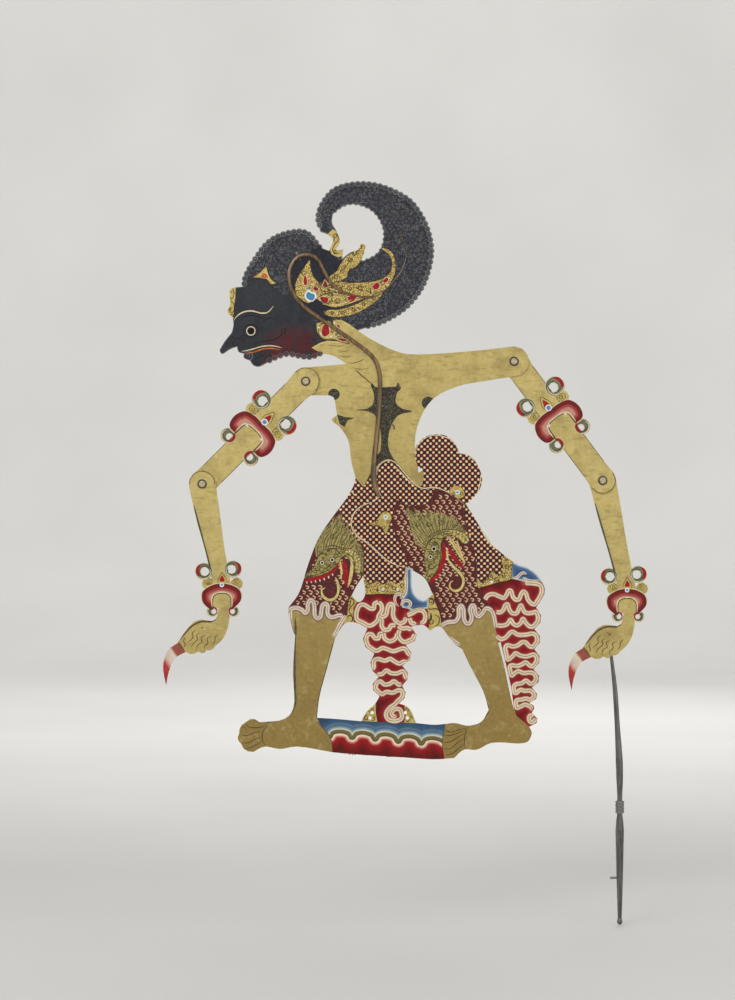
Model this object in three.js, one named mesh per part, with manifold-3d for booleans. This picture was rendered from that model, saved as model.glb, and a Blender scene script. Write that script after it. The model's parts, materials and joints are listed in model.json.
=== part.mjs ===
// A hide shadow puppet: a flat pierced figure on a split rod, with two jointed arms and one hand rod.
// Millimetres, +Z up. The sheet stands in the XZ plane, its front faces -Y and the figure looks to -X.
// The origin is the middle of the flat foot of the rear rod, which carries everything.
import * as THREE from 'three';
import { mergeVertices } from 'three/addons/utils/BufferGeometryUtils.js';
import Module from 'manifold-3d';

const wasm = await Module();
wasm.setup();

// Driving dimensions
const figureHeight = 663; // foot of the rod to the crown of the hair
const sheetThickness = 1.6; // hide of the figure and of the arms
const layerGap = 0.4; // between two plates that turn past each other
const seatGap = 0.3; // between pieces that touch
const leftUpperArm = 167.4; // pivot to pivot
const rightUpperArm = 170.8;
const leftForearm = 116.7; // elbow pivot to the top of the wristlet
const rightForearm = 127.9;
const armHalfWidth = 14.5;
const shoulderEndRadius = 16.5;
const elbowEndRadius = 15.5;
const wristHalfWidth = 9.8;
const ornamentSize = 1; // armlets, wristlets and hands against the size they are drawn at
const shankRadius = 1.4; // of a rivet
const rivetHeadRadius = 3.75;
const rivetHeadHeight = 1.2;
const washerRadius = 5.5;
const washerThickness = 0.5;
const shankGap = 0.3; // round a shank or a thread in its hole
const rodFootHalfWidth = 4.2; // of the rear rod where it stands
const frontRodHalfWidth = 3.3; // of the front rod at the waist
const rodDepthRatio = 1.15; // depth of a half-round rod against its half width
const threadRadius = 0.35;
const handRodLength = 335; // hand hole to the tip of the knob
const handRodRadius = 5; // at its thickest, in the swell of the grip
const bindingLength = 14.3;
const bindingRadius = 5.1;
const pegRadius = 1.3;
const pegLength = 8.8;
const gripOffset = 12; // of the grip's axis from the hand hole

// Rest angles from straight down, counter-clockwise as seen from the front
const leftArmAngle = -45.2;
const rightArmAngle = 36.7;
const leftForearmLean = 11.2;
const rightForearmLean = 12.8;

// Places that several pieces share
const drawnHeight = 663; // the height that the outlines below are drawn at
const figureScale = figureHeight / drawnHeight;
const platePitch = sheetThickness + layerGap;
const halfSheet = sheetThickness / 2;
const rodSeat = halfSheet + seatGap; // flat back of a rod, from the middle of the sheet
const sheetY = -(rodSeat + (rodDepthRatio * rodFootHalfWidth) / 2);
const leftShoulder = onFigure([-97, 432]);
const rightShoulder = onFigure([142.7, 455]);
const handHole = [-20 * ornamentSize, -52.5 * ornamentSize]; // from the top of the wristlet
const pivotHoleRadius = shankRadius + shankGap;
const threadHoleRadius = threadRadius + shankGap;
const strandRadius = 1.5 * threadRadius; // the doubled thread that holds the hand rod
const strandHoleRadius = strandRadius + shankGap;

const radians = THREE.MathUtils.degToRad;

function onFigure([x, z]) {
  return new THREE.Vector2(x * figureScale, z * figureScale);
}

function down(length, angle) {
  return new THREE.Vector2(length * Math.sin(radians(angle)), -length * Math.cos(radians(angle)));
}

// Outlines. Each stretch starts where the last one ended.
const vector = ([x, y]) => new THREE.Vector2(x, y);
const line = (...points) => (pen) => points.forEach(([x, y]) => pen.lineTo(x, y));
const curve = (...points) => (pen) => pen.splineThru(points.map(vector));
const arc = (x, y, radius, from, to) => (pen) => pen.absarc(x, y, radius, radians(from), radians(to));

// A round lobe whose crown stands `rise` out on the right of the way to its end
function lobeTo(pen, end, rise) {
  const start = pen.currentPoint.clone();
  const chord = end.clone().sub(start);
  const out = new THREE.Vector2(chord.y, -chord.x).normalize();
  const crown = start.add(end).multiplyScalar(0.5).addScaledVector(out, 2 * rise);
  pen.quadraticCurveTo(crown.x, crown.y, end.x, end.y);
}

const lobes = (rise, ...points) => (pen) => points.forEach((point) => lobeTo(pen, vector(point), rise));

// A smooth run edged with small even lobes
const scallops = (pitch, rise, ...points) => (pen) => {
  const run = new THREE.SplineCurve([pen.currentPoint.clone(), ...points.map(vector)]);
  const count = Math.round(run.getLength() / pitch);
  for (let i = 1; i <= count; i++) lobeTo(pen, run.getPointAt(i / count), rise);
};

function trace(scale, start, ...stretches) {
  const pen = new THREE.Path();
  pen.moveTo(...start);
  stretches.forEach((stretch) => stretch(pen));
  const points = pen.getPoints(3).map((point) => point.multiplyScalar(scale));
  if (points[0].distanceTo(points.at(-1)) < 0.01) points.pop();
  return points;
}

function circle(centre, radius, sides = 12) {
  const turn = (i) => (i / sides) * 2 * Math.PI;
  return Array.from({ length: sides }, (_, i) =>
    new THREE.Vector2(centre.x + radius * Math.cos(turn(i)), centre.y + radius * Math.sin(turn(i))));
}

// Solids
function closed(geometry) {
  const bare = geometry.clone();
  bare.deleteAttribute('normal');
  bare.deleteAttribute('uv');
  const merged = mergeVertices(bare, 1e-4);
  const corners = Array.from(merged.index.array);
  const kept = [];
  for (let i = 0; i < corners.length; i += 3) {
    const [a, b, c] = corners.slice(i, i + 3);
    if (a !== b && b !== c && c !== a) kept.push(a, b, c);
  }
  merged.setIndex(kept);
  merged.computeVertexNormals();
  return merged;
}

function toSolid(geometry) {
  const { attributes, index } = closed(geometry);
  return new wasm.Manifold(new wasm.Mesh({
    numProp: 3,
    vertProperties: attributes.position.array,
    triVerts: Uint32Array.from(index.array),
  }));
}

function toGeometry(solid) {
  const { vertProperties, triVerts } = solid.getMesh();
  const geometry = new THREE.BufferGeometry();
  geometry.setAttribute('position', new THREE.BufferAttribute(vertProperties, 3));
  geometry.setIndex(new THREE.BufferAttribute(triVerts, 1));
  geometry.computeVertexNormals();
  return geometry;
}

const join = (geometries) => toGeometry(geometries.map(toSolid).reduce((all, next) => all.add(next)));
const cut = (geometry, tools) =>
  toGeometry(tools.map(toSolid).reduce((left, tool) => left.subtract(tool), toSolid(geometry)));

// A flat plate of the outline, its middle at y = 0
function plate(outline, holes = [], thickness = sheetThickness) {
  const shape = new THREE.Shape(outline);
  shape.holes = holes.map((hole) => new THREE.Path(hole));
  const geometry = new THREE.ExtrudeGeometry(shape, { depth: thickness, bevelEnabled: false });
  geometry.translate(0, 0, -thickness / 2);
  geometry.rotateX(Math.PI / 2);
  return geometry;
}

const drill = (centre, radius) => plate(circle(centre, radius), [], 3 * sheetThickness);

// A body turned about the Y axis from [radius, y] pairs, listed from -Y to +Y
function turned(profile, sides = 12) {
  return closed(new THREE.LatheGeometry(profile.map(vector), sides));
}

// Value at t of a run of straight stretches between [t, value] stops
function between(stops, t) {
  const next = Math.max(1, stops.findIndex(([at]) => at >= t));
  const [[t0, v0], [t1, v1]] = [stops[next - 1], stops[next]];
  return THREE.MathUtils.mapLinear(t, t0, t1, v0, v1);
}

// A stick along a flat route of [x, z] points; section is drawn for a half width of 1
function stick(route, section, steps, halfWidths) {
  const path = new THREE.CatmullRomCurve3(route.map(({ x, y }) => new THREE.Vector3(x, 0, y)));
  const stations = path.getSpacedPoints(steps);
  const geometry = new THREE.ExtrudeGeometry(new THREE.Shape(section), { steps, extrudePath: path });
  const corner = new THREE.Vector3();
  const { position } = geometry.attributes;
  for (let i = 0; i < position.count; i++) {
    corner.fromBufferAttribute(position, i);
    const gaps = stations.map((station) => station.distanceToSquared(corner));
    const nearest = gaps.indexOf(Math.min(...gaps));
    const halfWidth = between(halfWidths, nearest / steps);
    corner.sub(stations[nearest]).multiplyScalar(halfWidth).add(stations[nearest]);
    position.setXYZ(i, corner.x, corner.y, corner.z);
  }
  return closed(geometry);
}

// Half-round section, flat on the sheet; side is 1 in front of it and -1 behind
function halfRound(side, sides = 6) {
  return Array.from({ length: sides + 1 }, (_, i) => {
    const angle = Math.PI * (i / sides - 0.5);
    return new THREE.Vector2(side * rodDepthRatio * Math.cos(angle), Math.sin(angle));
  });
}

// Materials
const material = (color, roughness, metalness = 0) =>
  new THREE.MeshStandardMaterial({ color, roughness, metalness });
const gildedHide = material(0xb09a5c, 0.5, 0.3);
const rodHorn = material(0x8a6b4a, 0.3);
const bone = material(0xc9c1ac, 0.4);
const darkHorn = material(0x2e2219, 0.45);
const thread = material(0x6b5130, 0.9);
const handRodHorn = material(0x4d4a4a, 0.3);
const wireGrey = material(0x6e6a66, 0.4, 0.6);

function piece(name, geometry, surface, x = 0, y = 0, z = 0) {
  const mesh = new THREE.Mesh(geometry, surface);
  mesh.name = name;
  mesh.position.set(x, y, z);
  return mesh;
}

// Figure sheet: the body, head, legs and base, cut from one hide
function figureOutline() {
  return trace(figureScale, [-97, 416],
    // left armpit, belly and flank
    line([-70, 416]), curve([-64.5, 413], [-62.5, 403], [-61, 393]),
    curve([-67, 387.5], [-58, 380]), curve([-48, 364], [-44.5, 340], [-39.5, 321]),
    // left trouser leg and its cuff
    curve([-42, 312], [-50, 297.5], [-66, 276], [-82, 252], [-94, 222], [-104, 190], [-116, 173]),
    curve([-117, 165], [-112, 146], [-109, 140]),
    // left shin and foot
    curve([-111.5, 98], [-110.5, 60], [-122, 43.5], [-150, 40]),
    lobes(4, [-166, 40]), lobes(2.6, [-173.5, 27], [-171.5, 15.5]), lobes(3.5, [-157, 6]),
    curve([-144, 12], [-126, 9.3], [-105, 12], [-66, 5.5]),
    // base and right foot
    curve([-30, 2.5], [10, 0], [50, -2.5], [74, -1]), curve([85, 8.5], [100, 8.5], [118, 16.5], [147, 15.5]),
    curve([158, 17.5], [163, 27], [160, 35]),
    // right tail, a stack of lobes
    lobes(8.5, [163, 51]), lobes(4.5, [160, 62]), lobes(8, [163, 80], [165, 101]),
    lobes(7, [166, 124], [166, 147], [168, 172]),
    curve([178, 190], [172, 206], [160, 217], [144, 223], [121, 241], [105, 262], [88, 291]),
    // bun of the waistcloth
    curve([102, 306], [105.5, 323], [95, 344], [79, 349.5]),
    curve([76, 359], [63, 370], [43, 369.5], [31, 359], [28.5, 350]),
    // right flank and shoulder
    curve([30, 375], [40, 400], [55, 416], [80, 427], [103, 431.5], [142.7, 437.7]),
    arc(142.7, 455, 17.3, -90, 90), curve([90, 466.5], [30, 463], [5, 467.5], [-20, 479.5], [-37, 490.5]),
    // crest of hair, curling forward
    line([-28, 493.5]),
    scallops(6.6, 1.8, [-8, 499], [20, 516.5], [40, 543], [49, 575], [47, 600], [37, 624], [20, 644],
      [-12, 658.5], [-42, 660.5], [-66, 653], [-81, 634], [-84.5, 616], [-77, 603]),
    curve([-70, 600], [-65.5, 594], [-70, 582]), line([-78, 585]),
    // front hair
    scallops(6.6, 1.8, [-95, 604.5], [-118, 604.5], [-140, 594.5], [-156, 574.5], [-168, 553], [-169, 541]),
    // gold strip on the brow
    line([-178, 540]), curve([-184.5, 536], [-183.5, 521], [-187, 512], [-181, 505.5]),
    // brow, nose, lips and chin
    curve([-180, 497], [-182, 488]), curve([-190, 478], [-196, 468]), curve([-193, 463.5], [-184, 469], [-176, 472]),
    curve([-174, 466], [-168, 464]), curve([-168, 459], [-161, 456]), curve([-157, 450.5], [-150, 449], [-141, 453.5]),
    // beard
    scallops(7, 2, [-120, 462], [-104, 459.5], [-90, 458.5], [-77, 464]),
    // neck and left shoulder
    curve([-64, 461], [-50, 452]), line([-97, 448]), arc(-97, 432, 16, 90, 270));
}

function figureHoles() {
  const crestLoop = trace(figureScale, [-62, 606], curve([-66.5, 614], [-66, 622]),
    scallops(6.2, -1.6, [-56, 630.5], [-42, 634.5], [-22, 627.5], [-10, 610], [-9.5, 592], [-17, 579], [-33, 571.5]),
    line([-30, 580]), curve([-28.5, 588], [-33, 590.5]), curve([-37, 583.5], [-46, 580], [-55, 573]),
    line([-54, 584]), curve([-62, 583], [-57.5, 594], [-62, 606]));
  const leftLegGap = trace(figureScale, [-63, 137], curve([-67.5, 120], [-73, 100], [-81, 70], [-84, 45]),
    curve([-60, 43.5], [-33, 41]), curve([-27, 52], [-17.5, 60.5], [-12, 70]),
    lobes(-8, [-13, 92]), lobes(-7, [-18, 119]), lobes(-9, [-26, 148]),
    curve([-39, 154.5], [-52, 153.5], [-63, 137]));
  const rightLegGap = trace(figureScale, [46, 145.5], curve([38, 152], [24, 150]),
    lobes(-10, [18, 129]), lobes(-9, [14, 105]), lobes(-7, [14, 82]), lobes(-6, [10, 61.5]),
    curve([22, 56], [30, 39]), curve([50, 37], [64, 38]), curve([75, 39], [90, 36], [105, 40.5], [113.5, 54]),
    curve([107, 76], [92, 105], [83, 124]), curve([72, 132], [58, 150], [46, 145.5]));
  const tailSlit = trace(figureScale, [124.5, 131], curve([131, 106], [136.5, 80], [142.5, 54]),
    curve([141, 68], [138.5, 84], [134.5, 102], [127, 133]));
  const leftSashGap = trace(figureScale, [-31, 208], curve([-38.5, 197], [-44, 186]),
    curve([-36, 178], [-28.5, 187], [-31, 208]));
  const rightSashGap = trace(figureScale, [25, 215], curve([40, 205.5], [49, 187]),
    curve([38, 180], [26.5, 190], [25, 215]));
  const bunSlit = trace(figureScale, [32, 334], curve([38, 330.5], [32.5, 327]), line([32, 334]));
  const haloPiercings = [150, 167, 13, 30].map((angle) => {
    const centre = down(22, angle + 90).add(vector([-1.5, 40]));
    return circle(centre.multiplyScalar(figureScale), 2.1, 8);
  });
  return [crestLoop, leftLegGap, rightLegGap, tailSlit, leftSashGap, rightSashGap, bunSlit, ...haloPiercings];
}

// Split rod. Both halves share the stretch from the waist to the ear; the front one goes on in a loop.
const sharedRoute = [[-12.5, 299], [-18.5, 315], [-18.2, 340], [-14.6, 375], [-11.7, 418], [-12.4, 442],
  [-18, 457.5], [-43.7, 479.3], [-80.8, 504.6]].map(onFigure);
const loopRoute = [[-101, 519.8], [-112.8, 536.7], [-116.2, 557], [-108.5, 573.5], [-96, 578], [-84, 573.5],
  [-75, 557], [-64, 541], [-48.8, 533.4], [-20, 528.5], [0, 543], [14.5, 562], [18.7, 585], [9.5, 604]].map(onFigure);
const stemRoute = [[0, 0], [0, 25], [0, 55], [-4, 135], [-8.5, 220]].map(onFigure);
const frontRoute = [...sharedRoute, ...loopRoute];
const rearRoute = [...stemRoute, ...sharedRoute];
const frontWidths = [[0, 0.5], [0.03, 1], [0.2, 0.82], [0.4, 0.7], [0.72, 0.68], [0.8, 0.24], [1, 0.14]]
  .map(([t, share]) => [t, share * frontRodHalfWidth]);
const rearWidths = [[0, 1], [0.55, 0.86], [0.9, 0.62], [1, 0.5]].map(([t, share]) => [t, share * rodFootHalfWidth]);
const tiePlaces = [0.07, 0.2, 0.33, 0.62]; // along the shared stretch, the last one past it on the loop

// Each tie's middle, its way across the rod and how far out its two holes lie
const ties = tiePlaces.map((t) => {
  const path = new THREE.SplineCurve(frontRoute);
  const centre = path.getPointAt(t);
  const tangent = path.getTangentAt(t);
  const halfWidth = frontRodHalfWidth + seatGap + threadRadius;
  return { centre, across: new THREE.Vector2(tangent.y, -tangent.x), halfWidth, overBoth: t < 0.4 };
});

function tieHoles() {
  return ties.flatMap(({ centre, across, halfWidth }) =>
    [-1, 1].map((side) => circle(centre.clone().addScaledVector(across, side * halfWidth), threadHoleRadius, 8)));
}

// A thread ring that goes straight through the sheet and rounds off at y = front and y = back
function threadLoop(halfWidth, front, back) {
  const ring = new THREE.TorusGeometry(halfWidth, threadRadius, 5, 12);
  const { position } = ring.attributes;
  for (let i = 0; i < position.count; i++) {
    const [x, y] = [position.getX(i), position.getY(i)];
    const spread = Math.hypot(x, y);
    const end = y < -0.01 ? front : back;
    const roundDepth = Math.min(halfWidth, Math.abs(end) - halfSheet);
    const shift = end - Math.sign(end) * roundDepth;
    position.setY(i, shift + (y / spread) * (roundDepth + spread - halfWidth));
  }
  return closed(ring);
}

// Upper arm: a strap hanging from its pivot with an armlet round it
function curl(x, y, radius, holeX, holeRadius) {
  const hole = circle(vector([holeX, y]), holeRadius, 8);
  return plate(circle(vector([x, y]), radius, 16), [hole]);
}

function upperArmPlate(length) {
  const strap = trace(1, [shoulderEndRadius, 0], arc(0, 0, shoulderEndRadius, 0, 180),
    line([-armHalfWidth, -shoulderEndRadius]), line([-armHalfWidth, -length + elbowEndRadius]),
    arc(0, -length, elbowEndRadius, 180, 360), line([armHalfWidth, -length + elbowEndRadius]),
    line([armHalfWidth, -shoulderEndRadius]));
  const k = ornamentSize;
  const band = trace(k, [0, -69], line([-14, -69]),
    curve([-25, -73.5], [-29.5, -86], [-25.5, -98], [-14, -99.5]), line([14, -99.5]),
    curve([25.5, -98], [29.5, -86], [25, -73.5], [14, -69]));
  const slits = [-1, 1].map((side) => drill(vector([side * 11.5 * k, -83.5 * k]), 1.3 * k));
  const curls = [-1, 1].flatMap((side) => [
    curl(side * 20.8 * k, -51 * k, 11.4 * k, side * 18.5 * k, 5.6 * k),
    plate(circle(vector([side * 20 * k, -66 * k]), 8 * k)),
    curl(side * 18.5 * k, -107 * k, 9 * k, side * 16.5 * k, 3.8 * k),
  ]);
  const holes = [drill(vector([0, 0]), pivotHoleRadius), drill(vector([0, -length]), pivotHoleRadius)];
  return cut(join([...curls, plate(band), plate(strap)]), [...holes, ...slits]);
}

// Forearm: a tapered strap, a wristlet and a hand with a long curved thumb nail
function forearmPlate(length, lean) {
  const tuck = length + 12;
  const strap = plate(trace(1, [elbowEndRadius, 0], arc(0, 0, elbowEndRadius, 0, 180),
    curve([-14, -0.36 * length], [-11.3, -0.67 * length], [-wristHalfWidth, -tuck]),
    line([wristHalfWidth, -tuck]), curve([10.7, -0.67 * length], [13, -0.36 * length], [elbowEndRadius, 0])));
  strap.rotateY(-radians(lean));
  const wrist = down(length, lean);
  const k = ornamentSize;
  const wristlet = trace(k, [-4, -28], line([-15, -29]),
    curve([-22.5, -21], [-22, -8], [0, 0.5], [21, -7], [22, -19], [13.5, -28]));
  const hand = trace(k, [-3.6, -18], curve([-4, -30], [-6.5, -39.5], [-11, -43]),
    curve([-28, -42], [-40, -52], [-51, -68.5]), curve([-62, -77], [-67.5, -95], [-64, -116.5]),
    curve([-61, -101], [-54, -86], [-41.5, -78.5]), lobes(2.8, [-27, -78], [-17.5, -76.5]), lobes(2, [-8, -72]),
    curve([2, -62], [8, -45], [9.8, -18]));
  const curls = [
    curl(-20.6 * k, 14 * k, 10 * k, -19.5 * k, 5 * k),
    curl(12.8 * k, 16.5 * k, 10 * k, 11 * k, 5 * k),
    plate(circle(vector([-16 * k, 0]), 7 * k)),
    plate(circle(vector([17 * k, 0]), 7 * k)),
    curl(-11 * k, -32 * k, 6.5 * k, -9 * k, 2.8 * k),
    curl(13.5 * k, -32 * k, 6.5 * k, 12 * k, 2.8 * k),
  ];
  const level = [...curls, plate(wristlet), plate(hand)].map((part) => part.translate(wrist.x, 0, wrist.y));
  const hole = drill(vector(handHole).add(wrist), strandHoleRadius);
  return cut(join([...level, strap]), [drill(vector([0, 0]), pivotHoleRadius), hole]);
}

// Rivet and two washers that clamp the plates between y = front and y = back
function pivotSet(name, front, back) {
  const washer = turned([[pivotHoleRadius, 0], [washerRadius, 0], [washerRadius, washerThickness],
    [pivotHoleRadius, washerThickness], [pivotHoleRadius, 0]]);
  const frontHead = front - 2 * seatGap - washerThickness;
  const backHead = back + 2 * seatGap + washerThickness;
  const r = rivetHeadRadius;
  const h = rivetHeadHeight;
  const rivet = turned([[0, frontHead - 0.55 * h], [0.25 * r, frontHead - 0.65 * h], [0.45 * r, frontHead - h],
    [0.8 * r, frontHead - 0.85 * h], [r, frontHead - 0.4 * h], [r, frontHead], [shankRadius, frontHead],
    [shankRadius, backHead], [r, backHead], [r, backHead + 0.4 * h], [0.8 * r, backHead + 0.85 * h],
    [0, backHead + h]]);
  return [
    piece(`${name}_rivet`, rivet, bone),
    piece(`${name}_front_washer`, washer, darkHorn, 0, front - seatGap - washerThickness),
    piece(`${name}_rear_washer`, washer, darkHorn, 0, back + seatGap),
  ];
}

// Hand rod: a thin bent shaft and a turned grip, butted inside a binding
const rodTopRadius = 1.9;
const neckRadius = 0.6 * handRodRadius;
const shaftLength = 0.595 * handRodLength; // hand hole to the middle of the binding
const passRadius = 0.62 * handRodRadius; // of the shaft where it swings past the thumb nail
const handRodY = halfSheet + seatGap + passRadius; // axis, from the middle of the forearm

function handRodShaft() {
  const bow = [[-0.02, 0], [0.07, 0.08], [0.15, 0.23], [0.32, 0.54], [0.54, 0.77], [0.75, 0.96], [0.93, 1], [1, 1]];
  const route = bow.map(([drop, out]) => new THREE.Vector2(out * gripOffset, -drop * shaftLength));
  const widths = [[0, rodTopRadius], [0.14, rodTopRadius], [0.35, 0.58 * handRodRadius], [0.53, 0.6 * handRodRadius],
    [0.75, 0.86 * handRodRadius], [0.85, 0.8 * handRodRadius], [0.93, neckRadius], [1, neckRadius]];
  const shaft = stick(route, circle(vector([0, 0]), 1, 10), 24, widths);
  return cut(shaft, [drill(vector([0, 0]), strandHoleRadius).scale(1, 3, 1)]);
}

function handRodBinding() {
  const bore = neckRadius + seatGap;
  const turns = 4;
  const pitch = bindingLength / turns;
  const outside = Array.from({ length: turns }, (_, i) => [
    [0.86 * bindingRadius, i * pitch], [bindingRadius, (i + 0.25) * pitch], [bindingRadius, (i + 0.75) * pitch],
  ]).flat();
  const profile = [[bore, 0], ...outside, [0.86 * bindingRadius, bindingLength], [bore, bindingLength], [bore, 0]];
  return turned(profile).rotateX(Math.PI / 2);
}

function handRodGrip() {
  const gripLength = handRodLength - shaftLength - seatGap;
  const r = handRodRadius;
  const stops = [[1, 0], [0.998, 0.35], [0.985, 0.62], [0.968, 0.64], [0.945, 0.46], [0.92, 0.5], [0.78, 0.62],
    [0.6, 0.76], [0.4, 0.88], [0.2, 1], [0.11, 0.8], [0.06, 0.62], [0, 0.6]];
  const profile = stops.map(([t, share]) => [share * r, t * gripLength]).reverse();
  const grip = turned([[0, 0], ...profile]).rotateX(-Math.PI / 2);
  const pegHole = new THREE.CylinderGeometry(pegRadius + seatGap, pegRadius + seatGap, 2 * r, 12);
  pegHole.rotateZ(Math.PI / 2).translate(-1.4 * r, 0, -pegDrop);
  return cut(grip, [pegHole]);
}

const pegDrop = 0.6 * (handRodLength - shaftLength); // below the grip's top

// Doubled thread through the hand and the head of its rod, knotted at both ends
function handTie() {
  const knot = 2.4 * strandRadius;
  const front = -halfSheet - seatGap;
  const back = handRodY + rodTopRadius + seatGap;
  const knotProfile = [[0.7, 0], [1, 0.25], [0.95, 0.6], [0.5, 0.85], [0, 0.85]];
  const frontKnot = knotProfile.map(([r, y]) => [r * knot, front - y * knot]).reverse();
  const backKnot = knotProfile.map(([r, y]) => [r * knot, back + y * knot]);
  return turned([...frontKnot, [strandRadius, front], [strandRadius, back], ...backKnot]);
}

// An arm hangs from its shoulder in its own layer; side is -1 in front of the sheet and 1 behind
function buildArm(name, side, shoulder, angle, lean, upperLength, foreLength) {
  const arm = new THREE.Group();
  arm.position.set(shoulder.x, sheetY + side * platePitch, shoulder.y);
  arm.rotation.y = -radians(angle);
  arm.add(piece(`${name}_upper_arm`, upperArmPlate(upperLength), gildedHide));

  const elbow = new THREE.Group();
  elbow.position.set(0, 0, -upperLength);
  const [front, back] = side < 0 ? [-platePitch, 0] : [0, platePitch];
  elbow.add(...pivotSet(`${name}_elbow`, front - halfSheet, back + halfSheet));
  arm.add(elbow);

  const forearm = new THREE.Group();
  forearm.position.set(0, side * platePitch, -upperLength);
  forearm.rotation.y = radians(angle);
  forearm.add(piece(`${name}_forearm`, forearmPlate(foreLength, lean), gildedHide));
  arm.add(forearm);
  return { arm, forearm };
}

function buildShoulder(name, side, shoulder) {
  const [front, back] = side < 0 ? [-platePitch, 0] : [0, platePitch];
  const group = new THREE.Group();
  group.position.set(shoulder.x, sheetY, shoulder.y);
  group.add(...pivotSet(`${name}_shoulder`, front - halfSheet, back + halfSheet));
  return group;
}

const puppet = new THREE.Group();
const shoulderHoles = [leftShoulder, rightShoulder].map((centre) => circle(centre, pivotHoleRadius));
const sheet = plate(figureOutline(), [...figureHoles(), ...shoulderHoles, ...tieHoles()]);
puppet.add(piece('figure_sheet', closed(sheet), gildedHide, 0, sheetY));

const frontRod = stick(frontRoute, halfRound(1), 76, frontWidths);
const rearRod = stick(rearRoute, halfRound(-1), 40, rearWidths);
puppet.add(piece('front_rod', frontRod, rodHorn, 0, sheetY - rodSeat));
puppet.add(piece('rear_rod', rearRod, rodHorn, 0, sheetY + rodSeat));

ties.forEach(({ centre, across, halfWidth, overBoth }, i) => {
  const clear = seatGap + threadRadius;
  const front = -rodSeat - rodDepthRatio * frontRodHalfWidth - clear;
  const back = overBoth ? rodSeat + rodDepthRatio * rodFootHalfWidth + clear : halfSheet + 2 * clear;
  const tie = piece(`rod_tie_${i + 1}`, threadLoop(halfWidth, front, back), thread, centre.x, sheetY, centre.y);
  tie.rotation.y = -Math.atan2(across.y, across.x);
  puppet.add(tie);
});

puppet.add(buildShoulder('left', -1, leftShoulder), buildShoulder('right', 1, rightShoulder));
const left = buildArm('left', -1, leftShoulder, leftArmAngle, leftForearmLean, leftUpperArm, leftForearm);
const right = buildArm('right', 1, rightShoulder, rightArmAngle, rightForearmLean, rightUpperArm, rightForearm);
puppet.add(left.arm, right.arm);

const hand = new THREE.Group();
const holeInForearm = down(rightForearm, rightForearmLean).add(vector(handHole));
hand.position.set(holeInForearm.x, 0, holeInForearm.y);
hand.add(piece('hand_tie', handTie(), thread));
hand.add(piece('hand_rod_shaft', handRodShaft(), handRodHorn, 0, handRodY));
const bindingTop = -shaftLength + bindingLength / 2;
hand.add(piece('hand_rod_binding', handRodBinding(), wireGrey, gripOffset, handRodY, bindingTop - bindingLength));
hand.add(piece('hand_rod_grip', handRodGrip(), handRodHorn, gripOffset, handRodY, -shaftLength - seatGap));
const peg = turned([[0, 0], [pegRadius, 0], [pegRadius, pegLength], [0, pegLength]], 12).rotateZ(Math.PI / 2);
hand.add(piece('hand_rod_peg', peg, wireGrey, gripOffset - 0.48 * handRodRadius, handRodY,
  -shaftLength - seatGap - pegDrop));
right.forearm.add(hand);

export default puppet;
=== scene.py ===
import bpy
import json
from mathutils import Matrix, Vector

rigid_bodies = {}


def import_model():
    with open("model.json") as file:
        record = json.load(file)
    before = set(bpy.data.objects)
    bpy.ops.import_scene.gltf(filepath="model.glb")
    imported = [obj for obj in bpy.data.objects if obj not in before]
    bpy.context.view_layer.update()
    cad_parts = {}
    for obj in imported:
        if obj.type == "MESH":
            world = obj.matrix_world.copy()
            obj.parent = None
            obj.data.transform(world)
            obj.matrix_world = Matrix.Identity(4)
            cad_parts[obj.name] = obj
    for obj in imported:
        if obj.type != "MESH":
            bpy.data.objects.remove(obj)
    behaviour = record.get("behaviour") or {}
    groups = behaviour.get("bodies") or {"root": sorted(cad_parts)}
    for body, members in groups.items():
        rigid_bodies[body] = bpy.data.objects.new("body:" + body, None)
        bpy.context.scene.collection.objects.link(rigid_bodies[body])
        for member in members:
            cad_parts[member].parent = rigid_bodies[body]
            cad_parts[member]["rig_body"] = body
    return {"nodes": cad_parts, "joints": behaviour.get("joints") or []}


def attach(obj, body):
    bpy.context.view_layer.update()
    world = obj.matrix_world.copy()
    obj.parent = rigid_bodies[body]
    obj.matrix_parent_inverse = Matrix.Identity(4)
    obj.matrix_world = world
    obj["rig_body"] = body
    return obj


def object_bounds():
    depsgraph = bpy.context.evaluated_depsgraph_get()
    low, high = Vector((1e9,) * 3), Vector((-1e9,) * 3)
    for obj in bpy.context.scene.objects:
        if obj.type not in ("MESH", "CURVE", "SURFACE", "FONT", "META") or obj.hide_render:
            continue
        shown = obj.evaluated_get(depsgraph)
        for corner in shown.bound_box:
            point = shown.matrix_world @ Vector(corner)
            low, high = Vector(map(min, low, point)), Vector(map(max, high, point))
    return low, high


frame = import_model()
cadBox = [list(corner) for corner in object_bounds()]

import json
import math
import bpy
import numpy as np
from mathutils import Vector
from mathutils.geometry import delaunay_2d_cdt

# Outlines are in millimetres, X to the right and Z up, in the frame of the CAD model.
# Paint wraps the front and the back of the hide alike, as on a real shadow puppet.
nodes = frame["nodes"]
mm = 0.001
pivots = {j["name"]: np.array(j["pos_m"]) / mm for j in frame["joints"]}

# curves, ovals and scrolls for the brush to follow


def smooth(points, closed=False, step=1.2):
    # a curve through the points, a station about every step
    p = np.array(points, float)
    n = len(p)
    out = []
    for i in range(n if closed else n - 1):
        a, b, c, d = ([p[(i + k) % n] for k in (-1, 0, 1, 2)] if closed
                      else [p[min(max(i + k, 0), n - 1)] for k in (-1, 0, 1, 2)])
        count = max(1, int(round(np.linalg.norm(c - b) / step)))
        t = np.arange(count)[:, None] / count
        out.append(0.5 * (2 * b + (c - a) * t + (2 * a - 5 * b + 4 * c - d) * t ** 2
                          + (3 * b - a - 3 * c + d) * t ** 3))
    if not closed:
        out.append(p[-1:])
    return np.vstack(out)


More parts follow.
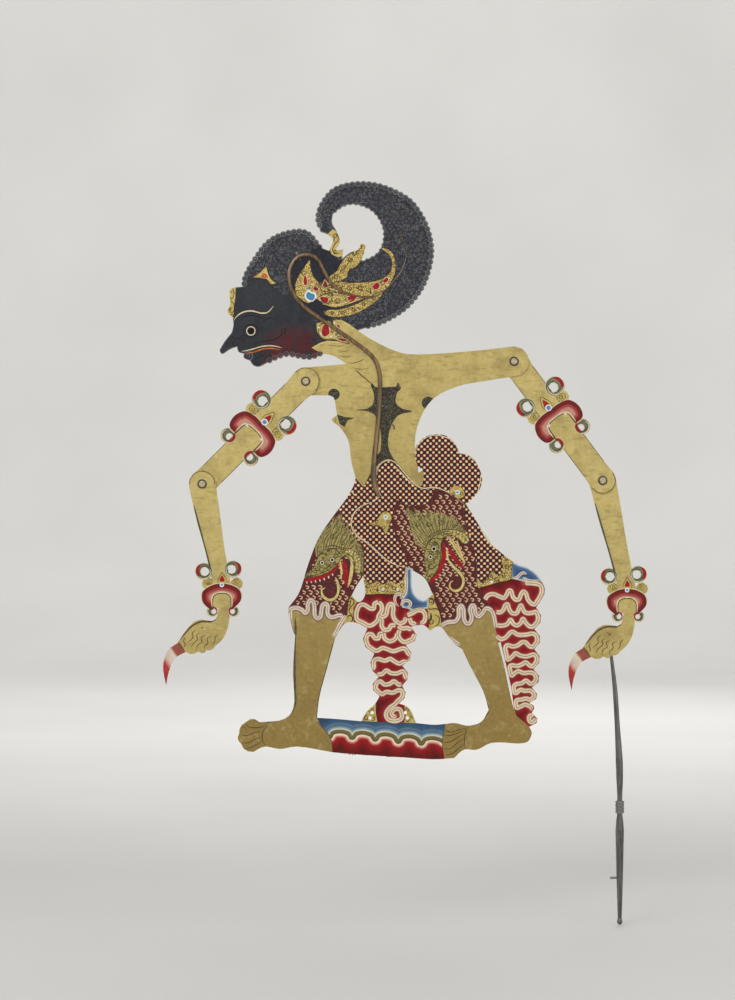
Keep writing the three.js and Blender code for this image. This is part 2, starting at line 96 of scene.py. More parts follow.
def oval(x, z, rx, rz=None, tilt=0, sides=36):
    # an ellipse, tilted in degrees
    a = np.arange(sides) / sides * 2 * math.pi
    t = math.radians(tilt)
    u, v = rx * np.cos(a), (rz or rx) * np.sin(a)
    return np.stack([x + u * math.cos(t) - v * math.sin(t), z + u * math.sin(t) + v * math.cos(t)], 1)


def spiral(x, z, outer, inner, start, turns, step=0.8):
    # a scroll that winds from its outer to its inner radius
    count = max(6, int(abs(turns) * math.pi * (outer + inner) / step))
    t = np.linspace(0, 1, count)
    r = outer + (inner - outer) * t
    a = math.radians(start) + turns * 2 * math.pi * t
    return np.stack([x + r * np.cos(a), z + r * np.sin(a)], 1)


def turnedTo(origin, angle, points):
    # points turned by an angle and carried to an origin
    c, s = math.cos(angle), math.sin(angle)
    p = np.array(points, float)
    return np.stack([origin[0] + p[:, 0] * c - p[:, 1] * s, origin[1] + p[:, 0] * s + p[:, 1] * c], 1)


def leftTurning(outline):
    # the outline, running anticlockwise
    x, z = outline[:, 0], outline[:, 1]
    area = np.sum(x * np.roll(z, -1) - np.roll(x, -1) * z)
    return outline if area > 0 else outline[::-1]


def segmentsOf(outline, closed=True):
    # each stretch of an outline as its two ends
    return np.stack([outline, np.roll(outline, -1, 0)], 1) if closed else np.stack([outline[:-1], outline[1:]], 1)


def inside(points, outline):
    # which points lie within an outline
    x, z = points[:, 0][:, None], points[:, 1][:, None]
    a, b = outline, np.roll(outline, -1, 0)
    crosses = (a[:, 1] > z) != (b[:, 1] > z)
    with np.errstate(divide="ignore", invalid="ignore"):
        at = a[:, 0] + (z - a[:, 1]) * (b[:, 0] - a[:, 0]) / (b[:, 1] - a[:, 1])
    return (crosses & (x < at)).sum(1) % 2 == 1


def distanceTo(points, segments):
    # how far each point is from the nearest stretch
    best = np.empty(len(points))
    a, d = segments[:, 0], segments[:, 1] - segments[:, 0]
    length2 = np.maximum((d ** 2).sum(1), 1e-12)
    for i in range(0, len(points), 1500):
        p = points[i:i + 1500]
        gx, gz = p[:, 0][:, None] - a[:, 0], p[:, 1][:, None] - a[:, 1]
        t = np.clip((gx * d[:, 0] + gz * d[:, 1]) / length2, 0, 1)
        best[i:i + 1500] = np.sqrt(((gx - t * d[:, 0]) ** 2 + (gz - t * d[:, 1]) ** 2).min(1))
    return best


# the hide plates are read back from the CAD model, so that paint ends where the hide ends


def plateOf(nodeName):
    # the silhouette of a plate, read from its flat front
    obj = nodes[nodeName]
    mesh = obj.data
    mesh.calc_loop_triangles()
    co = np.array([v.co for v in mesh.vertices]) / mm
    front, back = co[:, 1].min(), co[:, 1].max()
    key = [tuple(c) for c in np.round(co[:, [0, 2]], 3)]
    onward = {}
    for t in mesh.loop_triangles:
        if all(co[i, 1] < front + 0.01 for i in t.vertices):
            ring = [key[i] for i in t.vertices]
            for a, b in zip(ring, ring[1:] + ring[:1]):
                onward.setdefault(a, set()).add(b)
    edges = {(a, b) for a, ends in onward.items() for b in ends if a not in onward.get(b, ())}
    follow = {}
    for a, b in edges:
        follow.setdefault(a, []).append(b)
    loops = []
    while follow:
        start = min(follow)
        at, loop = start, []
        while at in follow:
            loop.append(at)
            ends = follow[at]
            after = ends.pop()
            if not ends:
                del follow[at]
            at = after
        loops.append(np.array(loop, float))
    loops.sort(key=lambda loop: -np.ptp(loop[:, 0]) * np.ptp(loop[:, 1]))
    return {"name": nodeName, "body": obj["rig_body"], "front": front, "back": back,
            "loops": [leftTurning(loop) for loop in loops], "rim": np.vstack([segmentsOf(loop) for loop in loops])}


sheetPlate = plateOf("figure_sheet")
plates = {name: plateOf(name) for name in ("left_upper_arm", "right_upper_arm", "left_forearm", "right_forearm")}
print("plates read:", 1 + len(plates), "with", len(sheetPlate["loops"]) - 1, "openings in the sheet")

# in mm: how far the first coat stands off the hide and each later one off the last, how far a brush line rises,
# how far paint wraps past an edge and a line past its limit, and how clear of the edges a line starts
paintStep = {"first": 0.03, "step": 0.014, "crest": 0.03, "wrap": 0.06, "lap": 0.04, "clear": 0.25}


def coat(level):
    # how far a coat stands off the hide
    return paintStep["first"] + level * paintStep["step"]


def place(name, mesh, plate, finish):
    # a painted piece rides with its plate
    obj = bpy.data.objects.new(name, mesh)
    bpy.context.scene.collection.objects.link(obj)
    mesh.materials.append(finish)
    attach(obj, plate["body"])
    return obj


def meshFrom(name, points, faces, attributes):
    # points in mm become a mesh in metres, with a value at every point for the finish to read
    mesh = bpy.data.meshes.new(name)
    mesh.from_pydata((np.array(points) * mm).tolist(), [], faces)
    for key, values in attributes.items():
        mesh.attributes.new(key, "FLOAT", "POINT").data.foreach_set("value", np.array(values, np.float32))
    mesh.update()
    return mesh


def paint(name, plate, regions, finish, level, grid=None, deep=9, measure=None, signed=False):
    # one coat of paint: the regions as far as the hide reaches, wrapped round both faces and the rim
    loops = plate["loops"]
    regions = [leftTurning(np.array(r, float)) for r in regions]
    outlines = loops + regions
    points = np.vstack(outlines)
    starts = np.cumsum([0] + [len(o) for o in outlines])
    faces = [list(range(a, b)) for a, b in zip(starts[:-1], starts[1:])]
    if grid:
        corners = np.vstack(regions)
        low = np.maximum(corners.min(0), loops[0].min(0))
        high = np.minimum(corners.max(0), loops[0].max(0))
        xs, zs = np.arange(low[0], high[0], grid), np.arange(low[1], high[1], grid * 0.866)
        x, z = np.meshgrid(xs, zs)
        x = x + (np.arange(len(zs)) % 2)[:, None] * grid / 2
        spots = np.stack([x.ravel(), z.ravel()], 1)
        spots = spots[np.any([inside(spots, r) for r in regions], 0)]
        spots = spots[inside(spots, loops[0])]
        for hole in loops[1:]:
            spots = spots[~inside(spots, hole)]
        near = np.vstack([segmentsOf(o) for o in outlines])
        margin = deep + 2
        near = near[((near.max(1) > low - margin) & (near.min(1) < high + margin)).all(1)]
        gap = distanceTo(spots, near)
        points = np.vstack([points, spots[(gap > 0.35 * grid) & (gap < deep)]])
    verts, _, tris, _, _, origins = delaunay_2d_cdt([Vector(p) for p in points], [], faces, 0, 1e-5)
    first = len(loops)
    kept = [t for t, o in zip(tris, origins)
            if 0 in o and not any(0 < i < first for i in o) and any(i >= first for i in o)]
    flat = np.array([[v.x, v.y] for v in verts])
    used = sorted({i for t in kept for i in t})
    renumber = {old: new for new, old in enumerate(used)}
    flat = flat[used]
    kept = [[renumber[i] for i in t] for t in kept]
    directed = {(t[i], t[(i + 1) % 3]) for t in kept for i in range(3)}
    rim = [e for e in directed if (e[1], e[0]) not in directed]
    ends = np.array(rim)
    along = flat[ends[:, 1]] - flat[ends[:, 0]]
    outward = np.stack([along[:, 1], -along[:, 0]], 1)
    outward /= np.maximum(np.linalg.norm(outward, axis=1), 1e-9)[:, None]
    push = np.zeros_like(flat)
    np.add.at(push, ends[:, 0], outward)
    np.add.at(push, ends[:, 1], outward)
    push /= np.maximum(np.linalg.norm(push, axis=1), 1e-9)[:, None]
    rulers = [np.array(r, float) for r in measure] if measure is not None else []
    edge = distanceTo(flat, np.vstack([segmentsOf(r, False) for r in rulers]) if rulers else flat[ends])
    if signed:
        line = rulers[0]
        level0 = np.interp(flat[:, 0], line[:, 0], line[:, 1])
        edge = np.where(flat[:, 1] > level0, -edge, edge)
    wide = flat + paintStep["wrap"] * push
    n = len(flat)
    lift = coat(level)
    fronts = np.stack([wide[:, 0], np.full(n, plate["front"] - lift), wide[:, 1]], 1)
    backs = np.stack([wide[:, 0], np.full(n, plate["back"] + lift), wide[:, 1]], 1)
    allFaces = kept + [[n + i for i in t[::-1]] for t in kept] + [[a, n + a, n + b, b] for a, b in rim]
    mesh = meshFrom(name, np.vstack([fronts, backs]), allFaces, {"edge": np.tile(edge, 2)})
    return place(name, mesh, plate, finish)


def onHide(plate, line):
    # the runs of a line that stay on the hide, clear of its edges and of its openings
    route = np.array(line[0], float)
    if len(route) < 2:
        return []
    on = inside(route, plate["loops"][0]) & (distanceTo(route, plate["rim"]) > paintStep["clear"])
    for hole in plate["loops"][1:]:
        on &= ~inside(route, hole)
    if on.all():
        return [line]
    marks = np.flatnonzero(np.diff(np.r_[0, on.astype(int), 0]))
    return [(route[a:b],) + tuple(line[1:]) for a, b in zip(marks[::2], marks[1::2]) if b - a > 2]


def strokes(name, plate, lines, finish, level, across=(-1, 0, 1)):
    # raised brush lines: each is (points, width) or (points, width, taper at start, taper at end)
    u = np.array(across, float)
    m = len(u)
    points, faces, side = [], [], []
    for entry in [piece for line in lines for piece in onHide(plate, line)]:
        route, width = np.array(entry[0], float), entry[1]
        taperIn, taperOut = (list(entry[2:]) + [0.25, 0.25][len(entry) - 2:]) if len(entry) > 2 else (0.25, 0.25)
        keep = np.r_[True, np.linalg.norm(np.diff(route, axis=0), axis=1) > 1e-4]
        route = route[keep]
        if len(route) < 2:
            continue
        run = np.r_[0, np.cumsum(np.linalg.norm(np.diff(route, axis=0), axis=1))]
        t = run / run[-1]
        grow = np.minimum(1, t / taperIn) if taperIn else np.ones_like(t)
        fade = np.minimum(1, (1 - t) / taperOut) if taperOut else np.ones_like(t)
        half = 0.5 * width * np.maximum(0.12, np.sqrt(np.minimum(grow, fade)))
        half = np.minimum(half, distanceTo(route, plate["rim"]) + paintStep["lap"])
        way = np.gradient(route, axis=0)
        way /= np.maximum(np.linalg.norm(way, axis=1), 1e-9)[:, None]
        leftward = np.stack([-way[:, 1], way[:, 0]], 1)
        base = len(points)
        high = coat(level) + paintStep["crest"] * (1 - u ** 2)
        for at, h, left in zip(route, half, leftward):
            spread = at[None] - u[:, None] * h * left
            points += [(s[0], plate["front"] - y, s[1]) for s, y in zip(spread, high)]
            points += [(s[0], plate["back"] + y, s[1]) for s, y in zip(spread[::-1], high[::-1])]
            side += list(u * h) + list((u * h)[::-1])
        ring = 2 * m
        for i in range(len(route) - 1):
            a, b = base + i * ring, base + (i + 1) * ring
            faces += [[a + j, a + (j + 1) % ring, b + (j + 1) % ring, b + j] for j in range(ring)]
        last = base + (len(route) - 1) * ring
        faces.append([base + j for j in range(ring)][::-1])
        faces.append([last + j for j in range(ring)])
    mesh = meshFrom(name, points, faces, {"edge": np.abs(side)})
    return place(name, mesh, plate, finish)


def beads(name, plate, spots, finish, level, height=0.06):
    # low round drops: each is (x, z, radius)
    points, faces, edge = [], [], []
    rings = ((1, 0), (0.88, 0.5), (0.6, 0.85), (0.25, 0.98))
    sides = 18
    for x, z, radius in spots:
        base = len(points)
        for face in (0, 1):
            for share, rise in rings:
                y = coat(level) + height * rise
                for p in oval(x, z, share * radius, sides=sides):
                    points.append((p[0], plate["front"] - y if face == 0 else plate["back"] + y, p[1]))
                    edge.append(radius * (1 - share))
        k = len(rings)
        for face in (0, 1):
            for r in range(k - 1):
                a, b = base + (face * k + r) * sides, base + (face * k + r + 1) * sides
                for j in range(sides):
                    q = [a + j, a + (j + 1) % sides, b + (j + 1) % sides, b + j]
                    faces.append(q if face == 0 else q[::-1])
            top = base + (face * k + k - 1) * sides
            cap = [top + j for j in range(sides)]
            faces.append(cap if face == 0 else cap[::-1])
        a, b = base, base + k * sides
        faces += [[a + j, b + j, b + (j + 1) % sides, a + (j + 1) % sides] for j in range(sides)]
    mesh = meshFrom(name, points, faces, {"edge": edge})
    return place(name, mesh, plate, finish)


# paints, gold leaf, hair, cloth and horn; tints are written from 0 to 255


def linear(value):
    # a screen value from 0 to 255 as linear light
    value /= 255
    return value / 12.92 if value <= 0.04045 else ((value + 0.055) / 1.055) ** 2.4


def tint(r, g, b):
    return (linear(r), linear(g), linear(b), 1)


class Finish:
    # a material being put together; place is the rest position in metres
    def __init__(self, name):
        self.material = bpy.data.materials.new(name)
        self.material.use_nodes = True
        self.tree = self.material.node_tree
        self.shader = self.tree.nodes["Principled BSDF"]
        self.place = self.add("ShaderNodeTexCoord").outputs["Object"]

    def add(self, kind, inputs=None, **settings):
        node = self.tree.nodes.new(kind)
        for key, value in settings.items():
            setattr(node, key, value)
        for key, value in (inputs or {}).items():
            if isinstance(value, bpy.types.NodeSocket):
                self.tree.links.new(value, node.inputs[key])
            else:
                node.inputs[key].default_value = value
        return node

    def math(self, operation, a, b=0.0, c=0.0):
        return self.add("ShaderNodeMath", {0: a, 1: b, 2: c}, operation=operation).outputs[0]

    def noise(self, size, detail=3, vector=None, roughness=0.55):
        inputs = {"Vector": vector or self.place, "Scale": 1 / (size * mm), "Detail": detail, "Roughness": roughness}
        return self.add("ShaderNodeTexNoise", inputs).outputs["Fac"]

    def cells(self, scale, randomness, waverScale, detail, push):
        # distance to the middle of the nearest of many wavering cells, alike on both faces
        flat = self.add("ShaderNodeVectorMath", {0: self.place, 1: (1.0, 0.0, 1.0)}, operation="MULTIPLY").outputs[0]
        waver = {"Vector": flat, "Scale": waverScale, "Detail": detail}
        wobble = self.add("ShaderNodeTexNoise", waver).outputs["Color"]
        pushed = {0: wobble, 1: (push,) * 3, 2: flat}
        moved = self.add("ShaderNodeVectorMath", pushed, operation="MULTIPLY_ADD").outputs[0]
        grid = {"Vector": moved, "Scale": scale, "Randomness": randomness}
        return self.add("ShaderNodeTexVoronoi", grid).outputs["Distance"]

    def spread(self, value, low, high, toLow, toHigh):
        inputs = {"Value": value, "From Min": low, "From Max": high, "To Min": toLow, "To Max": toHigh}
        return self.add("ShaderNodeMapRange", inputs).outputs["Result"]

    def mix(self, share, a, b, blend="MIX"):
        node = self.add("ShaderNodeMix", data_type="RGBA", blend_type=blend)
        for index, value in ((0, share), (6, a), (7, b)):
            if isinstance(value, bpy.types.NodeSocket):
                self.tree.links.new(value, node.inputs[index])
            else:
                node.inputs[index].default_value = value
        return node.outputs[2]

    def ramp(self, value, stops):
        node = self.add("ShaderNodeValToRGB", {"Fac": value})
        band = node.color_ramp
        while len(band.elements) > 1:
            band.elements.remove(band.elements[-1])
        band.elements[0].position, band.elements[0].color = stops[0]
        for position, color in stops[1:]:
            band.elements.new(position).color = color
        return node.outputs["Color"]

    def edge(self, waver=0.3):
        # distance from the line that a coat is measured from, in mm, with an unsteady hand
        distance = self.add("ShaderNodeAttribute", attribute_name="edge").outputs["Fac"]
        return self.math("ADD", distance, self.spread(self.noise(5), 0, 1, -waver, waver))

    def bands(self, stops, low=0.0, high=10.0, waver=0.3):
        share = self.spread(self.edge(waver), low, high, 0, 1)
        return self.ramp(share, [((at - low) / (high - low), tint(*color)) for at, color in stops])

    def finish(self, color, blotch=0.14, blotchSize=7, grain=0.45, bump=0.25, rough=(0.42, 0.62), metal=0.0,
               coatWeight=0.0):
        # mottled colour, a fine raised grain and uneven gloss
        cloud = self.noise(blotchSize, 4)
        fine = self.noise(grain, 2)
        shade = self.math("MULTIPLY", self.spread(cloud, 0.25, 0.75, 1 - blotch, 1 + blotch),
                          self.spread(fine, 0.2, 0.8, 1 - 0.5 * blotch, 1 + 0.5 * blotch))
        scaled = self.add("ShaderNodeVectorMath", {0: color, "Scale": shade}, operation="SCALE").outputs[0]
        self.tree.links.new(scaled, self.shader.inputs["Base Color"])
        self.tree.links.new(self.spread(cloud, 0.3, 0.7, rough[1], rough[0]), self.shader.inputs["Roughness"])
        height = self.math("ADD", fine, self.math("MULTIPLY", cloud, 2.0))
        relief = self.add("ShaderNodeBump", {"Strength": bump, "Distance": 0.00012, "Height": height})
        self.tree.links.new(relief.outputs["Normal"], self.shader.inputs["Normal"])
        self.shader.inputs["Metallic"].default_value = metal
        self.shader.inputs["Specular IOR Level"].default_value = 0.5 if metal or coatWeight else 0.2
        if coatWeight:
            self.shader.inputs["Coat Weight"].default_value = coatWeight
            self.shader.inputs["Coat Roughness"].default_value = 0.3
        return self.material


def plainPaint(name, color, second=None, **look):
    # a paint that drifts between two near tones
    f = Finish(name)
    second = second or tuple(int(c * 0.78) for c in color)
    drift = f.spread(f.noise(look.pop("drift", 4), 3), 0.35, 0.65, 0, 1)
    return f.finish(f.mix(drift, tint(*color), tint(*second)), **look)


def gildedHide(name, upper, lower, shadeHeights, metal=0.35):
    # old gold leaf over hide, rubbed and scratched, with painted shade that darkens it towards the feet
    f = Finish(name)
    # painted shade: the lower tint at the first height turns into the upper tint at the second
    z = f.add("ShaderNodeSeparateXYZ", {0: f.place}).outputs["Z"]
    tone = f.mix(f.spread(z, shadeHeights[0] * mm, shadeHeights[1] * mm, 0, 1), tint(*lower), tint(*upper))
    worn = f.spread(f.noise(26, 6, roughness=0.62), 0.46, 0.72, 0, 0.62)
    tone = f.mix(worn, tone, tint(128, 108, 58))
    pale = f.spread(f.noise(11, 7, roughness=0.7), 0.54, 0.76, 0, 0.38)
    tone = f.mix(pale, tone, tint(220, 206, 152))
    brushed = f.add("ShaderNodeVectorMath", {0: f.place, 1: (0.25, 1.0, 1.0)}, operation="MULTIPLY").outputs[0]
    tone = f.mix(f.spread(f.noise(3.2, 4, brushed), 0.53, 0.7, 0, 0.5), tone, tint(138, 118, 62))
    specks = f.spread(f.noise(1.4, 4), 0.65, 0.72, 0, 0.55)
    tone = f.mix(specks, tone, tint(104, 86, 46))
    stretched = f.add("ShaderNodeVectorMath", {0: f.place, 1: (1.0, 1.0, 0.12)}, operation="MULTIPLY").outputs[0]
    scratches = f.spread(f.noise(1.1, 3, stretched), 0.64, 0.7, 0, 0.3)
    tone = f.mix(scratches, tone, tint(205, 190, 140))
    return f.finish(tone, blotch=0.1, blotchSize=5, grain=0.6, bump=0.4, rough=(0.34, 0.6), metal=metal)


def inkedGold(name):
    # bright gold leaf of the ornaments
    f = Finish(name)
    tone = f.mix(f.spread(f.noise(3.5, 4), 0.35, 0.65, 0, 1), tint(206, 184, 108), tint(164, 142, 72))
    dark = f.spread(f.noise(1.3, 3), 0.6, 0.68, 0, 0.5)
    return f.finish(f.mix(dark, tone, tint(88, 70, 34)), metal=0.45, rough=(0.3, 0.5), grain=0.4)


def filigree(name, gold, shadow, line, size=3.0, metal=0.4):
    # gold leaf covered with small inked scrolls
    f = Finish(name)
    cells = f.cells(1 / (size * mm), 0.9, 1 / (2.2 * size * mm), 1.5, 1.1 * size * mm)
    loop = f.math("PINGPONG", f.math("MULTIPLY", cells, 2.2), 0.5)
    ink = f.spread(loop, 0.08, 0.27, 0.95, 0)
    tone = f.mix(f.spread(f.noise(2.5, 4), 0.35, 0.65, 0, 1), tint(*gold), tint(*shadow))
    tone = f.mix(ink, tone, tint(*line))
    return f.finish(tone, metal=metal, rough=(0.3, 0.5), grain=0.4, bump=0.35)


def curledHair(name, dark, light, red=0.0):
    # tight painted curls: round loops with a paler rim, over charcoal
    f = Finish(name)
    cells = f.cells(330.0, 0.85, 300.0, 1.0, 0.0013)
    loop = f.math("PINGPONG", f.math("MULTIPLY", cells, 2.9), 0.5)
    line = f.spread(loop, 0.2, 0.5, 0, 0.8)
    tone = f.mix(line, tint(*dark), tint(*light))
    if red:
        blush = f.spread(f.noise(14, 3), 0.42, 0.6, 0, red)
        tone = f.mix(blush, tone, tint(86, 20, 25))
    rim = f.spread(f.edge(0.15), 0.25, 1.5, 0.6, 0)
    tone = f.mix(rim, tone, tint(150, 150, 146))
    return f.finish(tone, blotch=0.16, rough=(0.35, 0.6), bump=0.3)


def faceSlate(name):
    # matt dark slate that reddens towards the jaw
    f = Finish(name)
    part = f.add("ShaderNodeSeparateXYZ", {0: f.place})
    x, z = part.outputs["X"], part.outputs["Z"]
    dx = f.math("MULTIPLY", f.math("SUBTRACT", x, -0.112), 1 / 0.034)
    dz = f.math("MULTIPLY", f.math("SUBTRACT", z, 0.474), 1 / 0.024)
    reach = f.math("SQRT", f.math("ADD", f.math("MULTIPLY", dx, dx), f.math("MULTIPLY", dz, dz)))
    blush = f.math("MULTIPLY", f.spread(reach, 0.35, 1.15, 0.8, 0), f.spread(f.noise(4, 4), 0.3, 0.65, 0.45, 1))
    tone = f.mix(f.spread(f.noise(10, 4), 0.3, 0.7, 0, 1), tint(47, 49, 54), tint(37, 38, 43))
    tone = f.mix(blush, tone, tint(88, 24, 28))
    rim = f.spread(f.edge(0.2), 0.3, 1.2, 0.45, 0)
    tone = f.mix(rim, tone, tint(120, 122, 124))
    return f.finish(tone, blotch=0.12, rough=(0.34, 0.55), bump=0.25)


def checkCloth(name, cell=3.45):
    # painted check: cream squares between maroon and plum, with rounded corners
    f = Finish(name)
    part = f.add("ShaderNodeSeparateXYZ", {0: f.place})
    waver = f.noise(9, 2)
    u = f.math("MULTIPLY_ADD", part.outputs["X"], 1 / (cell * mm), f.spread(waver, 0, 1, 99.8, 100.2))
    v = f.math("MULTIPLY_ADD", part.outputs["Z"], 1 / (cell * mm), f.spread(waver, 0, 1, 100.15, 99.85))
    column, row = f.math("FLOOR", u), f.math("FLOOR", v)
    odd = f.math("MODULO", f.math("ADD", column, row), 2.0)
    plum = f.math("MODULO", column, 2.0)
    du = f.math("ABSOLUTE", f.math("SUBTRACT", f.math("FRACT", u), 0.5))
    dv = f.math("ABSOLUTE", f.math("SUBTRACT", f.math("FRACT", v), 0.5))
    reach = f.math("POWER", f.math("ADD", f.math("POWER", du, 4.0), f.math("POWER", dv, 4.0)), 0.25)
    square = f.math("MULTIPLY", odd, f.spread(reach, 0.33, 0.43, 1, 0))
    cream = f.mix(f.spread(reach, 0.05, 0.45, 0, 1), tint(240, 216, 166), tint(196, 152, 100))
    ground = f.mix(plum, tint(84, 24, 28), tint(42, 24, 44))
    return f.finish(f.mix(square, ground, cream), blotch=0.16, rough=(0.42, 0.62))


def stippled(name, ground, dots, size=0.9, amount=0.5):
    # a ground with flecks of a second tone
    f = Finish(name)
    fleck = f.spread(f.noise(size, 2), amount, amount + 0.1, 0, 1)
    return f.finish(f.mix(fleck, tint(*ground), tint(*dots)), blotch=0.12)


def banded(name, stops, low=0.0, high=10.0, waver=0.25, **look):
    # bands of paint side by side, by distance in mm
    f = Finish(name)
    return f.finish(f.bands(stops, low, high, waver), **look)


def streakedHorn(name, dark, light, along, size=3.0, rough=(0.16, 0.3)):
    # polished horn: long drifting streaks under a clear gloss
    f = Finish(name)
    drawn = f.add("ShaderNodeVectorMath", {0: f.place, 1: along}, operation="MULTIPLY").outputs[0]
    streak = f.noise(size, 4, drawn, 0.6)
    tone = f.mix(f.spread(streak, 0.35, 0.65, 0, 1), tint(*dark), tint(*light))
    cloudy = f.spread(f.noise(14, 3), 0.5, 0.7, 0, 0.35)
    tone = f.mix(cloudy, tone, tint(*light))
    return f.finish(tone, blotch=0.08, grain=0.8, bump=0.06, rough=rough, coatWeight=0.35)


finishes = {
    # skin and arm gold carry painted shade, darker towards the feet than at the chest
    "skin": gildedHide("gilded_skin", (186, 167, 101), (142, 118, 58), (60, 440)),
    "armSkin": gildedHide("gilded_arm", (190, 171, 105), (176, 156, 92), (60, 300)),
    "gold": inkedGold("ornament_gold"),
    "scrollGold": filigree("scroll_gold", (214, 190, 112), (182, 156, 82), (66, 44, 20), 3.5),
    "monsterGold": filigree("monster_gold", (158, 142, 82), (112, 102, 58), (60, 50, 28), 5.5, 0.2),
    "snoutGold": filigree("snout_gold", (172, 158, 86), (132, 122, 66), (84, 74, 38), 7.0, 0.25),
    "strandPale": plainPaint("pale_strand", (168, 152, 90), (124, 110, 60), metal=0.15, drift=3),
    "strandDark": plainPaint("dark_strand", (92, 84, 48), (66, 60, 36), drift=3),
    "goldLine": plainPaint("gold_line", (214, 196, 128), (176, 152, 84), metal=0.3, drift=2),
    "ink": plainPaint("brown_ink", (48, 34, 24), (70, 52, 34), drift=3, rough=(0.4, 0.6)),
    "softInk": plainPaint("shading_ink", (92, 76, 46), (66, 54, 36), drift=3),
    "shade": plainPaint("edge_shade", (66, 60, 46), (98, 84, 52), drift=2.5, blotch=0.25),
    "creamLine": plainPaint("cream_line", (222, 208, 172), (188, 170, 128), drift=2),
    "hair": curledHair("curled_hair", (34, 35, 41), (66, 67, 73)),
    "smoothHair": plainPaint("smooth_hair", (38, 39, 48), (29, 30, 38), rough=(0.34, 0.5)),
    "beard": curledHair("curled_beard", (36, 27, 31), (72, 60, 64), 0.75),
    "face": faceSlate("face_slate"),
    "disc": plainPaint("brow_disc", (51, 53, 58), (42, 44, 49), rough=(0.34, 0.5)),
    "chest": stippled("chest_hair", (42, 40, 34), (92, 86, 66), 1.3, 0.5),
    "check": checkCloth("check_cloth"),
    "trousers": stippled("maroon_cloth", (78, 29, 31), (100, 52, 46), 1.6, 0.56),
    "motif": plainPaint("cream_motif", (220, 192, 150), (184, 142, 108), drift=3),
    "red": plainPaint("bright_red", (164, 26, 30), (126, 16, 24), drift=3),
    "orange": plainPaint("orange_paint", (196, 116, 44), (168, 74, 36), drift=2),
    "green": plainPaint("grey_green", (112, 128, 96), (88, 104, 88), drift=2),
    "white": plainPaint("bone_white", (226, 222, 206), (196, 190, 170), drift=2),
    "black": plainPaint("black_paint", (22, 18, 18), (40, 32, 30), drift=2, rough=(0.2, 0.35)),
    "gem": banded("blue_gem", [
        (0, (222, 226, 222)), (1.0, (206, 214, 216)), (1.7, (70, 120, 170)), (6, (120, 170, 204)),
    ], 0, 6, 0.05, rough=(0.15, 0.3)),
    "eye": banded("painted_eye", [
        (0, (44, 34, 24)), (0.6, (50, 40, 28)), (0.9, (196, 186, 156)), (1.7, (204, 196, 168)), (2.1, (26, 20, 20)),
        (4, (20, 16, 18)),
    ], 0, 5, 0.05, rough=(0.2, 0.35)),
    "tail": banded("pleat_ground", [
        (0, (150, 70, 60)), (3.0, (146, 58, 52)), (3.9, (142, 26, 30)), (5.6, (128, 14, 22)), (8.5, (98, 8, 14)),
        (12, (86, 6, 12)),
    ], 0, 12, 0.3),
    "ribbon": banded("pleat_ribbon", [
        (0, (92, 68, 50)), (0.2, (108, 84, 64)), (0.42, (208, 194, 160)), (1.75, (216, 202, 172)),
        (2.15, (196, 156, 138)), (2.9, (168, 104, 94)), (3.1, (104, 46, 40)), (3.25, (40, 18, 16)),
        (3.9, (34, 16, 14)),
    ], 0, 4, 0.08),
    "hem": banded("hem_ribbon", [
        (0, (94, 74, 62)), (0.2, (108, 88, 76)), (0.45, (206, 192, 168)), (1.6, (212, 198, 176)),
        (2.05, (172, 146, 142)), (2.9, (136, 106, 106)), (3.15, (44, 32, 26)), (3.8, (34, 26, 20)),
    ], 0, 4, 0.08),
    "base": banded("base_bands", [
        (-16, (38, 66, 92)), (-9, (56, 84, 112)), (-6.4, (92, 118, 138)), (-5.6, (60, 88, 116)),
        (-3.2, (112, 136, 150)), (-1.4, (172, 184, 178)), (-0.5, (206, 200, 168)), (0.1, (78, 66, 34)),
        (0.8, (112, 100, 58)), (3.4, (100, 88, 50)), (4.1, (48, 38, 22)), (4.7, (220, 206, 176)),
        (6.0, (222, 196, 174)), (7.4, (196, 116, 108)), (9.2, (146, 24, 28)), (13.5, (128, 10, 15)),
        (18, (98, 12, 10)), (24, (80, 10, 9)),
    ], -16, 24, 0.3),
    "blue": banded("blue_cloth", [
        (0, (190, 196, 190)), (0.9, (156, 172, 182)), (2.4, (72, 100, 136)), (7, (46, 74, 112)),
    ], 0, 7),
    "armlet": banded("armlet_bands", [
        (0, (200, 184, 138)), (0.9, (206, 190, 146)), (1.25, (56, 14, 14)), (1.9, (104, 20, 22)),
        (5.6, (118, 26, 28)), (6.2, (144, 54, 50)), (8.6, (156, 78, 72)), (9.4, (182, 124, 108)),
        (16, (190, 144, 124)),
    ], 0, 16, 0.15),
    "curl": banded("curl_bands", [
        (0, (186, 178, 146)), (0.6, (170, 164, 132)), (1.0, (66, 76, 56)), (2.2, (104, 108, 84)),
        (3.2, (140, 134, 108)), (4.5, (92, 28, 30)), (7, (84, 20, 24)),
    ], 0, 7, 0.2),
    "gemStone": banded("gem_stone", [
        (0, (226, 226, 214)), (1.3, (218, 222, 216)), (2.0, (60, 112, 158)), (6, (84, 142, 182)),
    ], 0, 6, 0.05, rough=(0.15, 0.3)),
    "claw": banded("painted_nail", [
        (0, (138, 78, 60)), (9, (150, 74, 62)), (12, (206, 196, 176)), (21, (198, 176, 160)), (26, (168, 54, 48)),
        (44, (140, 40, 40)), (50, (120, 120, 118)),
    ], 0, 50, 0.6),
}
print("finishes mixed:", len(finishes))

# the bare hide, rods, ties and rivets keep their shape and only take a finish


def dress(node, finish, soften=0.0):
    # a CAD piece takes its finish; soften rounds its sharp edges, in mm
    obj = nodes[node]
    obj.data.materials.clear()
    obj.data.materials.append(finish)
    if soften:
        bevel = obj.modifiers.new("soft_edge", "BEVEL")
        bevel.width = soften * mm
        bevel.segments = 2
        bevel.limit_method = "ANGLE"
        bevel.angle_limit = math.radians(50)
        bevel.harden_normals = True


